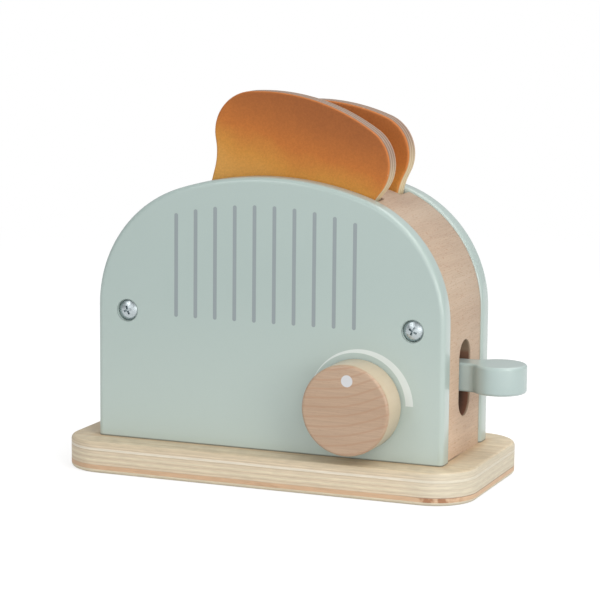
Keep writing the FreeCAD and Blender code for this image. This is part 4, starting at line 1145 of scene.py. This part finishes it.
# %% [markdown]
# ## Floor and sky
# The toy stands on a pale floor that runs into a white background. The camera, mirrors and
# glass see the floor a little brighter than it is, so that it turns white without more light
# on the toy, and a soft shadow stays. The sky is dim and even, and only looks white.

# %% Floor and sky
FLOOR_SIZE, FLOOR_GLOW = 8.0, 0.74
FLOOR_BOUNCE = (tone(196, 196, 196), tone(199, 199, 199))
FLOOR_SEEN = (tone(158, 158, 158), tone(162, 162, 162))
WHITE_SPAN = (0.25, 0.9)
SKY_STRENGTH, SKY_TONE = 0.52, (0.97, 0.99, 1.0, 1)
BLACK, WHITE = (0, 0, 0, 1), (1, 1, 1, 1)


def cleared(owner):
    """Switches on the nodes of a material or a world, clears them and returns the tree."""
    owner.use_nodes = True
    owner.node_tree.nodes.clear()
    return owner.node_tree


def seen_by(tree, *rays):
    """1 for what the named kinds of ray meet."""
    first, *others = [node(tree, "LightPath", output=f"Is {ray} Ray") for ray in rays]
    for other in others:
        first = first.larger(other)
    return first


def floor_material():
    """Pale grey for light that bounces, near white for what is seen."""
    material = bpy.data.materials.new("pale_floor")
    tree = cleared(material)
    grain = cloud(tree, 40)
    x, y, _ = split_place(tree)
    far = soft_step(length(x, y), WHITE_SPAN)
    seen_tone = blend(far, blend(grain, *FLOOR_SEEN), BLACK)
    glow = far * (1.0 - FLOOR_GLOW) + FLOOR_GLOW
    bounce = node(tree, "BsdfDiffuse", {"Color": blend(grain, *FLOOR_BOUNCE)})
    matt = node(tree, "BsdfDiffuse", {"Color": seen_tone})
    light = node(tree, "Emission", {"Color": WHITE, "Strength": glow})
    bright = node(tree, "AddShader", {0: matt, 1: light})
    seen = seen_by(tree, "Camera", "Glossy", "Transmission")
    both = node(tree, "MixShader", {0: seen, 1: bounce, 2: bright})
    node(tree, "OutputMaterial", {"Surface": both})
    return material


def white_world():
    """A dim even sky that the camera sees as white."""
    world = bpy.data.worlds.new("studio")
    tree = cleared(world)
    seen = seen_by(tree, "Camera", "Transmission")
    strength = seen * (1.0 - SKY_STRENGTH) + SKY_STRENGTH
    colour = blend(seen, SKY_TONE, WHITE)
    sky = node(tree, "Background", {"Color": colour, "Strength": strength})
    node(tree, "OutputWorld", {"Surface": sky})
    return world


floor_mesh = bmesh.new()
bmesh.ops.create_grid(floor_mesh, x_segments=1, y_segments=1, size=FLOOR_SIZE / 2)
floor = as_object(floor_mesh, "floor")
floor.data.materials.append(floor_material())
bpy.context.scene.world = white_world()
print("floor:", FLOOR_SIZE, "m wide, under a sky of strength", SKY_STRENGTH)

# %% [markdown]
# ## Lamps
# The key lamp stands high at the right and gives the form. A small one beside it, low down,
# lights the block and throws the knob's shadow sideways. Two lamps overhead light the base
# and the crown of the arches, and three weak ones in front and at the left open the shadows.
# One large lamp would be simpler, but it would leave the knob and the lever without form.

# %% Lamps
AIM = Vector((0, 0, 0.07))
WARM, NEUTRAL = (1.0, 0.98, 0.94), (1.0, 1.0, 1.0)
LAMPS = {
    "key": ((1.1, -0.9, 1.1), 0.8, 6.2, WARM),
    "near_key": ((0.90, -0.55, 0.24), 0.42, 2.7, WARM),
    "top_right": ((0.7, 0.0, 1.3), 0.8, 6.2, WARM),
    "top_rear": ((0.1, 0.8, 1.3), 0.8, 4.2, NEUTRAL),
    "front_fill": ((-0.4, -2.0, 0.3), 1.2, 4.6, NEUTRAL),
    "low_front": ((0.45, -0.95, 0.12), 0.5, 1.7, NEUTRAL),
    "left_fill": ((-0.7, -1.3, 0.85), 0.5, 2.6, NEUTRAL),
}
for name, (place, size, power, colour) in LAMPS.items():
    data = bpy.data.lights.new(name, "AREA")
    data.size, data.energy, data.color = size, power, colour
    turn = (Vector(place) - AIM).to_track_quat("Z", "Y").to_matrix().to_4x4()
    put(name, data, Matrix.Translation(place) @ turn)
bpy.context.scene.view_settings.view_transform = "Standard"
print("lamps:", ", ".join(LAMPS))
